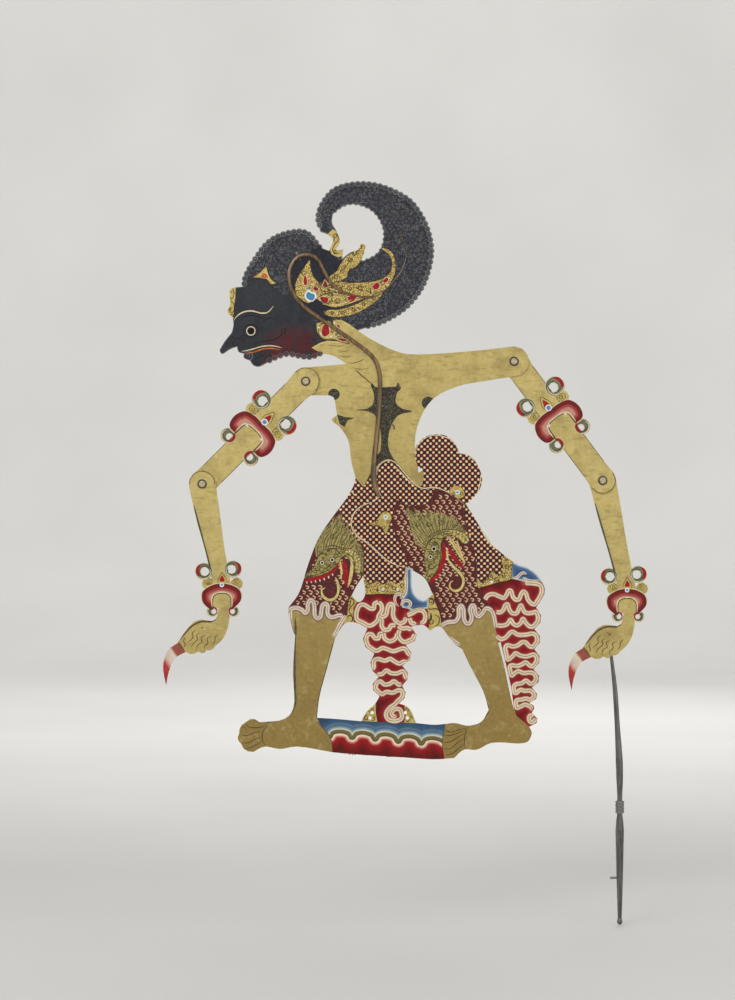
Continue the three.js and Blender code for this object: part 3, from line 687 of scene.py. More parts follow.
hornFinishes = {
    "amber": streakedHorn("amber_horn", (62, 42, 22), (126, 98, 58), (1.0, 1.0, 0.1)),
    "smoke": streakedHorn("smoke_horn", (40, 36, 36), (104, 98, 96), (1.0, 1.0, 0.06), 2.4),
    "bone": streakedHorn("rivet_bone", (142, 130, 96), (190, 178, 142), (1.0, 0.4, 1.0), 2.0, (0.25, 0.4)),
    "dark": streakedHorn("washer_horn", (34, 24, 18), (66, 50, 36), (1.0, 1.0, 1.0), 2.0, (0.35, 0.5)),
}
threadFinish = Finish("waxed_thread")
twist = threadFinish.add("ShaderNodeTexWave", {"Vector": threadFinish.place, "Scale": 900.0, "Distortion": 1.5},
                         bands_direction="DIAGONAL").outputs["Fac"]
waxedThread = threadFinish.finish(threadFinish.mix(twist, tint(70, 50, 30), tint(148, 118, 76)), rough=(0.6, 0.8))
wireFinish = Finish("binding_wire")
turns = wireFinish.add("ShaderNodeTexWave", {"Vector": wireFinish.place, "Scale": 420.0, "Distortion": 0.6},
                       bands_direction="Z").outputs["Fac"]
bindingWire = wireFinish.finish(wireFinish.mix(turns, tint(60, 58, 56), tint(168, 164, 158)), rough=(0.3, 0.45),
                                metal=0.75)

dress("figure_sheet", finishes["skin"])
for name in plates:
    dress(name, finishes["armSkin"])
for name in ("front_rod", "rear_rod"):
    dress(name, hornFinishes["amber"])
for name in ("hand_rod_shaft", "hand_rod_grip"):
    dress(name, hornFinishes["smoke"])
for name in ("hand_rod_binding", "hand_rod_peg"):
    dress(name, bindingWire)
for name in ("rod_tie_1", "rod_tie_2", "rod_tie_3", "rod_tie_4", "hand_tie"):
    dress(name, waxedThread)
for side in ("left", "right"):
    for joint in ("shoulder", "elbow"):
        dress(f"{side}_{joint}_rivet", hornFinishes["bone"], 0.15)
        dress(f"{side}_{joint}_front_washer", hornFinishes["dark"])
        dress(f"{side}_{joint}_rear_washer", hornFinishes["dark"])

# hair, face and beard in three coats, then the brow, the smooth hair over the ear and the face lines

head = {
    "hair": [(-200, 440), (-215, 620), (-80, 690), (70, 680), (70, 480), (-30, 488), (-37, 490.6), (-45, 497),
             (-56, 503), (-66, 502), (-64, 494), (-54, 484), (-50, 477.5), (-58, 478), (-72, 479), (-80, 476.5),
             (-90, 470.5), (-84, 466.5), (-77, 464.5), (-74, 453), (-110, 452), (-118, 440)],
    "face": [(-215, 553), (-170, 552), (-158, 551), (-150, 556), (-139, 547), (-131, 538), (-119, 531), (-108, 529),
             (-100, 520), (-90, 505), (-84, 498), (-85, 488), (-86, 478), (-91, 472), (-82, 466), (-77, 463),
             (-76, 452.5), (-110, 452), (-118, 440), (-215, 440)],
    "beard": [(-143, 460), (-137, 466), (-126, 466), (-117, 473), (-108, 482), (-98, 488), (-88, 485), (-85, 478),
              (-91, 471), (-83, 466.5), (-76.5, 464), (-75, 452.5), (-110, 452), (-118, 440), (-150, 440)],
}
silhouette = [np.vstack([loop, loop[:1]]) for loop in sheetPlate["loops"]]
for level, (key, finish) in enumerate((("hair", "hair"), ("face", "face"), ("beard", "beard"))):
    outline = head[key] if key == "hair" else smooth(head[key], True)
    paint(f"head_{key}", sheetPlate, [outline], finishes[finish], level, grid=1.7, deep=3.2, measure=silhouette)
paint("brow_disc", sheetPlate, [oval(-152, 530, 17.5, 19)], finishes["disc"], 2)
smoothHair = [(-113, 566), (-104, 577), (-92, 583), (-80, 586), (-70, 583), (-62, 576), (-54, 566), (-56, 556),
              (-62, 546),
              (-58, 534), (-56, 520), (-66, 506), (-76, 500), (-88, 508), (-104, 524), (-114, 540)]
paint("smooth_hair", sheetPlate, [smooth(smoothHair, True)], finishes["smoothHair"], 1)

eye = (-160, 490)
faceLines = [
    (smooth([(-181, 499), (-177, 506), (-169, 511.5), (-159, 513), (-148, 510.5), (-140, 512), (-134, 519)]), 1.5),
    (smooth([(-171, 466.5), (-160, 468.5), (-148, 472), (-136, 473), (-124, 470.5)]), 1.3),
]
strokes("brow_and_mouth_line", sheetPlate, faceLines, finishes["creamLine"], 3)
strokes("lip_line", sheetPlate, [(smooth([(-169, 463.8), (-158, 465.4), (-147, 469), (-136, 470), (-126, 468)]), 1.4)],
        finishes["orange"], 3)
faceInk = [
    (oval(*eye, 8.2, 7.4)[list(range(36)) + [0]], 1.2, 0, 0),
    (smooth([(-150, 497), (-143, 503), (-135, 505), (-129, 501)]), 1.0),
    (smooth([(-174, 500), (-168, 506), (-158, 508), (-148, 505), (-141, 506)]), 0.8),
    (spiral(-178.5, 475.5, 3.6, 1.0, 40, -1.2), 1.0),
    (smooth([(-183, 484), (-177, 481), (-171, 483), (-167, 488)]), 0.8),
    (smooth([(-158, 474), (-146, 478), (-134, 480), (-124, 486), (-119, 493)]), 1.1),
    (spiral(-122, 489, 4.2, 1.0, 20, 1.3), 1.0),
    (smooth([(-140, 459), (-146, 462), (-152, 460), (-156, 456)]), 0.9),
]
strokes("face_ink", sheetPlate, faceInk, finishes["black"], 3)
beads("eye_ball", sheetPlate, [(*eye, 6.2)], finishes["eye"], 3)


def hairEdge(outline):
    # the dips between the scallops along the edge of the hair
    ahead, behind = np.roll(outline, -1, 0) - outline, outline - np.roll(outline, 1, 0)
    turn = behind[:, 0] * ahead[:, 1] - behind[:, 1] * ahead[:, 0]
    turn = turn / np.maximum(np.linalg.norm(ahead, axis=1) * np.linalg.norm(behind, axis=1), 1e-9)
    dips = []
    for i in range(len(outline)):
        near = turn[np.arange(i - 2, i + 3) % len(outline)]
        if turn[i] < -0.3 and turn[i] == near.min():
            dips.append(i)
    return outline[dips]


def curlLoops():
    # a painted loop in every scallop, then loose loops all over the mass of hair
    hairZone = np.array(head["hair"], float)
    lines, rims = [], []
    dips = hairEdge(sheetPlate["loops"][0])
    for a, b in zip(dips[:-1], dips[1:]):
        reach = np.linalg.norm(b - a) / 2
        if not 1.8 < reach < 5.5 or not inside(np.array([a, b]), hairZone).all():
            continue
        middle = (a + b) / 2 + np.array([a[1] - b[1], b[0] - a[0]]) / (2 * reach) * 0.35 * reach
        rims.append((oval(*middle, 0.95 * reach, sides=22)[list(range(22)) + [0]], 0.9, 0, 0))
        rims.append((spiral(*middle, 0.5 * reach, 0.2 * reach, 200, -1.1), 0.7))
    dice = np.random.default_rng(21)
    low, high = (-172, 492), (48, 660)
    spots = np.array([(x + (row % 2) * 2.45, z) for row, z in enumerate(np.arange(low[1], high[1], 4.1))
                      for x in np.arange(low[0], high[0], 4.9)])
    spots = spots + dice.uniform(-1.1, 1.1, spots.shape)
    sheet = sheetPlate["loops"][0]
    keep = inside(spots, hairZone) & inside(spots, sheet) & (distanceTo(spots, segmentsOf(sheet)) > 6.2)
    keep &= ~inside(spots, smooth(head["face"], True)) & ~inside(spots, smooth(smoothHair, True))
    for x, z in spots[keep]:
        size, turn = dice.uniform(1.5, 2.4), dice.uniform(0, 360)
        way = 1 if dice.uniform() > 0.5 else -1
        lines.append((spiral(x, z, size, 0.35 * size, turn, way * dice.uniform(0.8, 1.3), step=1.0), 0.62, 0.1, 0.4))
    return lines, rims


hairLight = plainPaint("hair_loop", (112, 112, 114), (74, 75, 80), drift=9)
looseLoops, scallopRims = curlLoops()
strokes("hair_loops", sheetPlate, looseLoops, hairLight, 1)
strokes("scallop_rims", sheetPlate, scallopRims, plainPaint("scallop_rim", (118, 118, 118), (84, 84, 88), drift=9), 1)
print("hair curled:", len(looseLoops), "loose loops,", len(scallopRims), "lines in the scallops")

# crest wings, ear leaf, collar and brow pieces, laid over each other in gold

headGold = {
    "ear_leaf": [(-108, 531), (-109.5, 541), (-106, 552), (-99, 563), (-92.5, 571.5), (-91, 562), (-88, 553),
                 (-82, 546), (-78, 541), (-70, 538), (-66, 530), (-71, 522), (-80, 524), (-87, 527), (-93, 522),
                 (-101, 525)],
    "upper_wing": [(-82, 546), (-70, 542), (-60, 547), (-45, 545.5), (-25, 546.5), (-12, 549), (-4, 553.5), (1, 560),
                   (2, 570), (-2, 578), (-10, 584.5), (-6, 585.5), (2, 581), (6, 571), (6, 557), (0, 544), (-6, 536),
                   (-18, 530), (-40, 530), (-58, 533), (-66, 536), (-78, 536)],
    "lower_wing": [(-77, 511), (-68, 506), (-52, 506.5), (-38, 510.5), (-24, 518), (-12, 528), (-7, 536), (-14, 534),
                   (-26, 527.5), (-42, 520), (-58, 515), (-70, 514.5)],
    "wing_heart": [(-80, 531), (-66, 534), (-50, 533), (-36, 530), (-26, 529), (-38, 524), (-52, 519), (-66, 517),
                   (-76, 522)],
    "tall_leaf": [(-74, 541), (-70, 552), (-62, 558.5), (-57, 567), (-50, 576), (-40, 582.5), (-34.5, 590),
                  (-30, 592), (-27, 588), (-29, 580), (-33, 571), (-40, 563), (-47, 560), (-50, 551), (-58, 547),
                  (-64, 540)],
    "crest_hook": [(-72, 601), (-66, 607), (-58, 602), (-55.5, 592), (-58, 584), (-53, 586), (-52, 577), (-60, 575),
                   (-67, 578), (-71, 588), (-68, 594)],
    "brow_strip": [(-190, 542), (-177.5, 542), (-178, 530), (-179.5, 516), (-180, 504), (-192, 508), (-190, 530)],
    "brow_triangle": [(-159, 551), (-150, 557), (-142.5, 564), (-140, 556), (-136, 549), (-131, 545), (-137, 543.5),
                      (-142, 549.5), (-150, 551)],
    "collar": [(-85, 499), (-78, 501), (-70, 501.5), (-63, 494), (-56, 486), (-49, 478), (-47, 475.5), (-56, 477),
               (-64, 480), (-72, 480), (-79, 482), (-84, 489)],
}
goldOrder = ("wing_heart", "lower_wing", "upper_wing", "ear_leaf", "tall_leaf")
for level, key in enumerate(goldOrder):
    paint(key, sheetPlate, [smooth(headGold[key], True)], finishes["scrollGold"], 2 + level)
for key in ("crest_hook", "brow_strip", "brow_triangle", "collar"):
    paint(key, sheetPlate, [headGold[key]], finishes["gold"], 3)
petals = {
    "red": [[(-98.5, 542), (-100, 548), (-97.5, 555), (-95, 548), (-95.5, 543)],
            [(-78, 541), (-75, 549), (-72.5, 545), (-71.5, 540)],
            [(-81, 529), (-76, 529.5), (-71, 528), (-71.5, 523), (-75, 521.5), (-79, 524)],
            [(-89, 538), (-86, 541.5), (-82, 538), (-85, 535.5)],
            [(-49, 529), (-44, 531), (-38, 529.5), (-41, 525), (-46, 522.5), (-48, 525)],
            [(-21, 541), (-16, 546), (-11.5, 543), (-14, 538), (-18, 537.5)],
            [(-9, 547), (-4, 552), (-1.5, 549), (-5, 545)],
            [(-79, 490), (-77, 496), (-72, 499), (-70, 493), (-69.5, 487), (-74, 483.5), (-78, 485)],
            [(-62, 481), (-56, 482), (-49, 479), (-54, 477.5)], [(-62, 498), (-58.5, 497), (-57, 493.5), (-60, 494)]],
    "orange": [[(-150, 552), (-145, 557), (-140.5, 554), (-141, 550.5), (-146, 550.5)],
               [(-93, 545), (-90, 549), (-88, 545)]],
    "green": [[(-98, 538.5), (-93, 541), (-89.5, 539), (-93, 537.5)],
              [(-68, 536), (-63, 537), (-60, 534), (-64, 533.5)],
              [(-64, 486), (-61, 489), (-59, 486), (-62, 483.5)]],
}
for key, leaves in petals.items():
    paint(f"ornament_{key}", sheetPlate, [smooth(leaf, True, 0.8) for leaf in leaves], finishes[key], 7)
petalRims = [(smooth(leaf + leaf[:1], step=0.8), 0.55, 0, 0) for leaves in petals.values() for leaf in leaves]
strokes("petal_rims", sheetPlate, petalRims, finishes["creamLine"], 7)
gem = [(-98, 529), (-97.5, 533.5), (-93.5, 537), (-90, 534.5), (-86.5, 534), (-84.5, 529.5), (-87, 525.5),
       (-90.5, 523.5), (-95, 525)]
paint("ear_gem", sheetPlate, [smooth(gem, True, 0.7)], finishes["gemStone"], 8, grid=0.8, deep=6)
outlined = ("ear_leaf", "upper_wing", "lower_wing", "tall_leaf", "wing_heart", "brow_triangle", "collar")
headInk = [(smooth(headGold[key] + headGold[key][:1]), 0.9, 0, 0) for key in outlined]
headInk += [(spiral(x, z, 1.1 * r, 0.7, a, t), 0.95) for x, z, r, a, t in (
    (-99, 556, 3, 0, 1.3), (-84, 541, 2.6, 90, 1.4), (-70, 532, 3.6, 200, 1.5), (-58, 541, 3.2, 20, -1.4),
    (-46, 539, 3.2, 60, 1.4), (-34, 540, 3, 0, -1.4), (-24, 537, 3, 100, 1.4), (-8, 545, 3.2, 40, 1.3),
    (0, 556, 2.6, 0, 1.2), (3.5, 568, 2.0, 90, -1.2), (-66, 510.5, 2.0, 0, 1.2), (-54, 511, 2.4, 90, 1.3),
    (-42, 515, 2.6, 0, -1.3), (-30, 521, 2.6, 40, 1.3), (-18, 528, 2.6, 0, -1.3), (-60, 524, 3.2, 0, 1.4),
    (-50, 526, 2.4, 90, -1.3), (-62, 552, 3, 40, 1.3), (-53, 562, 3.2, 0, 1.4), (-45, 572, 3, 90, 1.3),
    (-37, 580, 2.4, 0, 1.2), (-63, 600, 2.6, 180, 1.2), (-63, 581, 2.6, 0, -1.2), (-184, 535, 2.2, 90, 1.2),
    (-184, 526, 2.2, 0, -1.2), (-184, 516, 2.4, 90, 1.2), (-66, 490, 2.4, 0, 1.3), (-59, 482, 2.0, 0, 1.2))]
headInk += [(oval(-182, z, rx, rz)[list(range(36)) + [0]], 0.9, 0, 0) for z, rx,
            rz in ((533, 2.6, 5.6), (517, 2.8, 5.8), (507.5, 2, 1.8))]
headInk += [(smooth([(-63, 604), (-60, 600), (-60, 594), (-64, 589), (-66, 583), (-62, 579), (-57, 579)]), 1.0),
            (smooth([(-66, 601), (-64, 596), (-66, 591)]), 0.9), (smooth([(-60, 588), (-62, 584), (-58, 582)]), 0.8)]
headInk += [(smooth([(-82, 500), (-75, 498), (-68, 499)]), 0.7), (oval(-75, 490.5, 7.4, 8.6)[:28], 0.8),
            (smooth([(-67, 496), (-60, 488), (-53, 480), (-48, 477)]), 0.8),
            (smooth([(-70, 545), (-55, 560), (-40, 578), (-31, 589)]), 0.7)]
strokes("ornament_ink", sheetPlate, headInk, finishes["ink"], 7)
goldArcs = [(smooth([(-78, 521), (-66, 519.5), (-54, 521.5), (-44, 526)]), 1.3),
            (smooth([(-72, 528), (-62, 529.5), (-54, 527)]), 1.1)]
strokes("ornament_glints", sheetPlate, goldArcs, finishes["goldLine"], 7)
beads("collar_white", sheetPlate, [(-82, 494, 1.3), (-80, 487, 1.3), (-68, 483.5, 1.3), (-64, 499, 1.3)],
      finishes["white"], 6)
print("head painted")

# chest hair, belly marks and the folds of the neck

body = {
    "chest": [(-22, 427), (-20.5, 430), (-17, 425.5), (-10, 425), (0, 425.5), (7, 426), (9, 430.5), (12.5, 424),
              (8, 419), (6, 410), (8, 405), (14, 400.5), (25, 397.5), (14, 395), (8, 392), (3, 385), (-1, 375),
              (-2.5, 362), (-1, 352), (4, 343), (12, 334), (20, 324), (28, 314), (34, 309.5), (33, 304), (0, 325),
              (-20, 316), (-27, 311), (-31, 309), (-26.5, 318), (-22, 327), (-20, 334), (-16, 345), (-11, 352),
              (-10, 365), (-11, 378), (-14, 388), (-18, 394), (-26, 398), (-39, 399), (-26, 400.5), (-20, 405),
              (-18, 412), (-19, 420)],
    "belly": [(-61, 394), (-52, 391), (-40, 390), (-49, 387), (-52, 379.5), (-58, 383)],
}
paint("chest_hair", sheetPlate, [body["chest"]], finishes["chest"], 0)
paint("belly_hair", sheetPlate, [body["belly"], oval(-64.5, 417, 6.6), oval(44, 407, 7.4)], finishes["chest"], 0)
bodyInk = [
    (smooth([(-41, 446), (-34, 440), (-27, 434), (-20, 428)]), 1.3),
    (smooth([(-44, 448), (-34, 446), (-24, 447)]), 0.6),
    (smooth([(-49, 453.5), (-42, 453), (-34, 455.5), (-28, 459)]), 0.8),
    (smooth([(-60, 462), (-51, 460), (-44, 461.5)]), 0.6),
    (smooth([(-61, 468), (-52, 466.5), (-45, 469)]), 0.6),
    (smooth([(-72, 474), (-60, 472.5), (-50, 474)]), 0.6),
    (smooth([(-64.5, 391), (-62, 388), (-63.5, 384.5)]), 0.7),
    (smooth([(2, 383), (4.5, 380), (5, 376)]), 1.6),
    (smooth(body["chest"] + body["chest"][:1], step=1.5), 0.5, 0, 0),
]
strokes("body_ink", sheetPlate, bodyInk, finishes["softInk"], 1)
strokes("neck_edge", sheetPlate, [(smooth([(-90, 470.4), (-82, 474.5), (-73, 477.5), (-62, 477), (-52, 475.5)]), 1.6),
                                  (smooth([(-63, 503), (-55, 500.5), (-45, 494), (-37, 489.5)]), 1.2)],
        finishes["goldLine"], 2)

# checked waistcloth, sash lines, and trousers with dragon heads and wavy hems

hem = {
    "left": [(-116.5, 166), (-113.5, 170.5), (-107, 171.5), (-101, 169), (-97.5, 165.5), (-94.5, 169), (-94.5, 176),
             (-91.5, 180.5),
             (-88, 178), (-87, 170), (-86.5, 163), (-83.5, 159.5), (-80, 161.5), (-79, 168), (-77.5, 174.5),
             (-74, 176.5),
             (-71.5, 173), (-72, 166), (-69.5, 161.5), (-64.5, 161), (-59, 163), (-54, 162)],
    "right": [(59, 151), (66, 155), (75, 156), (79, 162), (79, 170.5), (82, 174), (84.5, 169), (85, 159), (88, 153.5),
              (92, 154.5), (94, 161), (92, 169), (94.5, 174.5), (97, 173), (98.5, 165), (102, 161.5), (106, 165),
              (111, 171),
              (118, 168)],
    "leftTurn": [(-115, 170), (-114, 158), (-112, 148), (-110, 141)],
    "leftBackTurn": [(-51, 163), (-58, 152), (-62, 144), (-66.5, 137.5)],
    "rightTurn": [(59, 151), (64, 143), (73, 134), (81, 128.5)],
    "rightBackTurn": [(117, 169), (120, 160), (121.5, 148)],
    "width": 6.8,
}
cloth = {
    "check": [(-60, 330), (-45, 323), (-39.5, 321), (-34, 314), (-31, 311), (-28, 315), (-25, 322), (-21, 328),
              (-17, 331), (-14.5, 335), (-10, 339.5), (-2, 341.5), (6, 339), (12, 333), (20, 323), (28, 314),
              (33, 310), (37, 313), (38.5, 320), (38.5, 328), (32, 334.5), (28.7, 344), (28.6, 350.5), (29.8, 358),
              (31.5, 366), (36, 376),
              (60, 390), (120, 350), (112, 300), (104, 270), (125, 245), (150, 226), (139, 226), (138, 215),
              (136, 206), (125, 203), (108, 199), (100, 197), (60, 212), (30, 217), (19.5, 218), (18, 199),
              (15, 188), (-28, 188), (-31, 207), (-50, 215), (-80, 240), (-90, 290)],
    "leftLeg": [(-66, 288), (-57, 279), (-53.5, 268), (-47, 262), (-43, 252), (-36, 248), (-30, 241), (-31, 205),
                (-45, 185), (-48, 176), (-49, 163)],
    "rightLeg": [(8, 296), (20, 289), (40, 291), (48, 300), (53, 308), (62, 307), (72, 300), (81, 296), (85, 285),
                 (87, 272), (90, 262), (92, 250), (96, 240), (99, 225), (100, 205), (104, 195), (108, 188), (113, 178),
                 (118, 169)],
    "rightLegIn": [(59, 152), (57, 165), (51, 180), (50, 187), (41, 199), (26, 216), (20, 221), (17, 233), (12, 243),
                   (8, 250),
                   (4, 262), (2, 272), (4, 285)],
    "centreFringe": [(-31, 212), (-28, 204), (-22, 199.5), (-15, 202.5), (-8, 199), (0, 202.5), (8, 200), (14, 204.5),
                     (18.5, 214), (18.5, 199), (16, 188), (8, 187), (-12, 187.5), (-28, 187.5), (-32, 196)],
    "rightFringe": [(100, 207), (106, 200.5), (112, 206), (118, 214), (124, 208), (130, 216), (128, 226), (133, 233),
                    (141, 230), (140, 215), (138, 204), (125, 201), (108, 196), (101, 195)],
}
leftHem, rightHem = smooth(hem["left"]), smooth(hem["right"])
leftLeg = np.vstack([smooth(cloth["leftLeg"]), leftHem[::-1], [(-125, 180), (-125, 300)]])
rightLeg = np.vstack([smooth(cloth["rightLeg"]), rightHem[::-1], smooth(cloth["rightLegIn"])])
paint("waistcloth", sheetPlate, [cloth["check"]], finishes["check"], 1)
paint("trousers", sheetPlate, [leftLeg, rightLeg], finishes["trousers"], 2)
sashLines = [
    (smooth([(-20, 293.5), (-30, 290), (-38, 284.5), (-43, 277), (-44.5, 268), (-42, 260), (-36, 253), (-28, 247.5),
             (-20, 241),
             (-12, 233.5), (-5, 227.5), (3, 222.5), (12, 219.5), (20, 218.5)]), 1.7),
    (smooth([(-9, 299), (-13, 307), (-15.8, 318), (-15.5, 328), (-12, 336), (-6, 340.5), (0, 341.3), (8, 337),
             (16, 327.5),
             (25, 317), (33, 310.5), (40, 309), (50, 310), (60, 307.5), (70, 302.5), (78, 296.5), (86, 290)]), 1.4),
    (smooth([(4, 336), (12, 328), (21, 318), (29, 311)]), 0.7),
    (smooth([(-11, 300), (-20, 293.5)]), 1.1),
    (smooth([(-40, 300), (-44, 306), (-42, 313), (-39, 318)]), 0.9),
    (smooth([(88, 290), (97, 275), (105.5, 260.5), (112, 250), (121.5, 240), (133, 231.5), (144, 222)]), 1.8),
    (smooth([(29.5, 345), (29.6, 352), (33, 360), (43, 368.3), (55, 370), (68, 366), (76, 358), (79, 350.5), (88, 348),
             (96, 342), (102, 334), (104.3, 323), (101, 306), (92, 294)]), 1.0),
]
strokes("sash_edges", sheetPlate, sashLines, finishes["creamLine"], 3)
# painted shadow: a thin ink line set just below and to the right of the two main sash edges
sashShadow = [(line[0] + np.array([0.7, -0.9]), 0.6) for line in sashLines[:2]]
strokes("sash_shadow_ink", sheetPlate, sashShadow, finishes["ink"], 3)


def hooks(region, pitch, keepOut, seed):
    # rows of little painted hooks, one to a cell, all leaning about the same way
    dice = np.random.default_rng(seed)
    low, high = region.min(0), region.max(0)
    spots = np.array([(x + (row % 2) * pitch / 2, z) for row, z in enumerate(np.arange(low[1], high[1], pitch * 0.8))
                      for x in np.arange(low[0], high[0], pitch)])
    edges = np.vstack([segmentsOf(region), segmentsOf(sheetPlate["loops"][0])])
    spots = spots[inside(spots, region) & inside(spots, sheetPlate["loops"][0])]
    spots = spots[distanceTo(spots, edges) > 3.2]
    for outline in keepOut:
        spots = spots[~inside(spots, outline)]
    lines = []
    for x, z in spots:
        turn, size = dice.uniform(-38, -4), dice.uniform(0.85, 1.1)
        bar = np.array([(-2.1, 0.7), (-1.5, 2.0), (0.2, 1.7), (1.6, 1.7), (1.7, 0.2), (1.2, -1.4)]) * size
        foot = np.array([(-0.6, -1.8), (0.4, -1.0), (1.3, -1.6), (2.3, -1.2)]) * size
        for part in (bar, foot):
            lines.append((smooth(turnedTo((x, z), math.radians(turn), part), step=0.7), 1.15, 0.1, 0.1))
    return lines


dragon = {
    "left": [(-86, 240), (-82, 252), (-74, 264), (-64, 273), (-58, 279), (-55, 271), (-50, 263), (-44, 258), (-41, 250),
             (-36, 246),
             (-31, 238), (-31, 212), (-35, 209), (-40, 212), (-42, 222), (-44, 231), (-50, 234), (-58, 229), (-62, 222),
             (-70, 214), (-82, 209), (-97, 206), (-96, 211), (-88, 218), (-82, 224), (-80, 232)],
    "leftSnout": [(-99, 205.5), (-95, 212), (-88, 218), (-85, 226), (-80, 234), (-72, 239), (-62, 240), (-52, 238),
                  (-43, 236),
                  (-36, 229), (-33.5, 215), (-37, 210), (-40.5, 215), (-43, 224), (-49, 230), (-56, 229), (-60, 221),
                  (-68, 213),
                  (-82, 208.5)],
    "leftJaw": [(-50, 232), (-44.5, 226), (-44, 216), (-46, 204), (-48.5, 195)],
    "right": [(19, 286), (28, 281), (40, 281), (55, 281), (68, 277), (80, 269), (88, 258), (91, 249), (84, 245),
              (78, 252),
              (70, 257), (61, 257), (57, 250), (58, 240), (58, 230), (55, 218), (49, 208), (43, 202), (39, 204),
              (42, 214), (40, 226), (39, 238), (31, 248), (26, 256), (23, 268)],
    "rightSnout": [(40, 203), (41.5, 212), (40, 222), (39.5, 232), (41, 242), (46, 250), (54, 256), (64, 259.5),
                   (76, 258.5),
                   (89, 254), (91, 247), (85, 245), (78, 251), (70, 255), (62, 252), (58.5, 244), (59.5, 234),
                   (57.5, 222),
                   (51, 210), (44.5, 201.5)],
    "rightJaw": [(67, 255), (72, 247), (78, 237), (86.5, 223)],
}
manes = {
    "left": [[(-84, 230), (-84, 241), (-79, 252), (-73, 263)], [(-78, 236), (-76, 249), (-70, 262), (-64, 274)],
             [(-70, 239), (-67, 252), (-61, 266), (-57, 281)], [(-61, 238), (-58, 249), (-53, 260), (-50, 271)],
             [(-53, 237), (-49, 246), (-46, 254), (-44, 263)], [(-46, 236), (-42, 242), (-38, 247), (-34, 251)]],
    "right": [[(40, 236), (35, 241), (29, 247), (25, 252)], [(40, 247), (33, 255), (26, 262), (21, 268)],
              [(44, 253), (36, 263), (27, 274), (17, 288)], [(50, 256), (44, 266), (38, 275), (33, 285)],
              [(56, 258), (53, 268), (49, 276), (44, 284)], [(62, 259), (63, 268), (61, 276), (57, 283)],
              [(68, 259), (72, 267), (73, 273), (70, 279)], [(74, 258), (81, 262), (86, 264), (89, 267)]],
}


def combed(guides, between=6):
    # strands that follow the guides and fan out evenly between them
    guides = np.array(guides, float)
    share = np.linspace(0, len(guides) - 1, (len(guides) - 1) * between + 1)
    index = np.minimum(share.astype(int), len(guides) - 2)
    part = (share - index)[:, None, None]
    return list(guides[index] * (1 - part) + guides[index + 1] * part)


def waving(points, sway, phase):
    # a strand with a gentle wave in it
    route = smooth(points, step=1.3)
    t = np.linspace(0, 1, len(route))
    way = np.gradient(route, axis=0)
    way /= np.linalg.norm(way, axis=1)[:, None]
    return route + np.stack([-way[:, 1], way[:, 0]], 1) * (sway * np.sin(2 * math.pi * 1.3 * t + phase) * t)[:, None]


leftDragon, rightDragon = smooth(dragon["left"], True), smooth(dragon["right"], True)
strands = combed(manes["left"]) + combed(manes["right"])
waved = [waving(strand, 2.7, 0.9 * i) for i, strand in enumerate(strands)]
keepOut = [leftDragon, rightDragon, oval(-68, 191, 10), oval(77, 199, 9), oval(-78, 205, 22, 7, 18),
           oval(54, 222, 10, 26, -18),
           oval(-48, 208, 5, 20)]
strokes("trouser_motifs", sheetPlate, hooks(leftLeg, 7.4, keepOut, 3) + hooks(rightLeg, 7.4, keepOut, 5),
        finishes["motif"], 3)
paint("thigh_monsters", sheetPlate, [leftDragon, rightDragon], finishes["monsterGold"], 3)
strokes("mane_pale", sheetPlate, [(w, 2.0, 0.05, 0.7) for w in waved[::2]], finishes["strandPale"], 4)
strokes("mane_dark", sheetPlate, [(w, 1.0, 0.1, 0.7) for w in waved[1::2]], finishes["strandDark"], 4)
paint("monster_snouts", sheetPlate, [smooth(dragon["leftSnout"], True), smooth(dragon["rightSnout"], True)],
      finishes["snoutGold"], 5)
mouths = [(smooth([(-100.5, 202.5), (-90, 204), (-78, 207), (-68, 212), (-62, 218), (-60, 224)]), 4.8, 0.12, 0.3),
          (smooth([(-54, 228), (-52, 218), (-51, 206), (-50, 195)]), 5.4, 0.35, 0.3),
          (smooth([(61.5, 247), (62.5, 236), (60.5, 222), (54, 210), (45, 200.5)]), 5.8, 0.3, 0.12),
          (smooth([(66.5, 243), (72, 232), (78, 224.5), (85, 217)]), 4.8, 0.35, 0.2)]
strokes("monster_mouths", sheetPlate, mouths, finishes["red"], 5)
jaws = [(smooth(dragon["leftJaw"]), 3.8, 0.2, 0.3), (smooth(dragon["rightJaw"]), 3.8, 0.2, 0.3),
        (smooth([(-57.5, 226), (-56, 215), (-56, 204)]), 2.4, 0.2, 0.5),
        (smooth([(65.5, 240), (66, 230), (70, 223)]), 2.4, 0.3, 0.5),
        (smooth([(77, 250), (79.5, 240), (84, 231)]), 2.0, 0.3, 0.5),
        (smooth([(-63, 207), (-60, 200), (-59.5, 190), (-63, 183), (-70, 180.5), (-77, 185), (-78.5, 192), (-74, 195)]),
         3.2, 0.2, 0.3),
        (smooth([(66, 227), (73, 219), (80, 212), (84.5, 204), (82.5, 195), (76, 191), (69.5, 194), (69, 200),
                 (73, 203)]), 3.0, 0.2, 0.3)]
strokes("monster_jaws", sheetPlate, jaws, finishes["goldLine"], 5)
scales = [(x, z, 1.35) for x, z in (
    (-50, 236), (-46.5, 237), (-43, 236), (-40, 234), (-37.5, 231), (-36, 227.5), (-35, 224), (-34.5, 220.5),
    (-35, 217), (-36.5, 213.5),
    (-40, 230), (-38.5, 226), (-38, 222), (-38.5, 218), (-45, 233), (70, 259.5), (74, 259.5), (78, 258.5), (81.5, 257),
    (85, 255.5),
    (88, 253), (89.5, 249.5), (87, 247), (84, 249), (81, 251.5), (77.5, 254), (73.5, 256), (84.5, 252), (81, 254.5),
    (92, 256), (88, 257.5))]
beads("monster_scales", sheetPlate, scales, finishes["goldLine"], 6, 0.04)
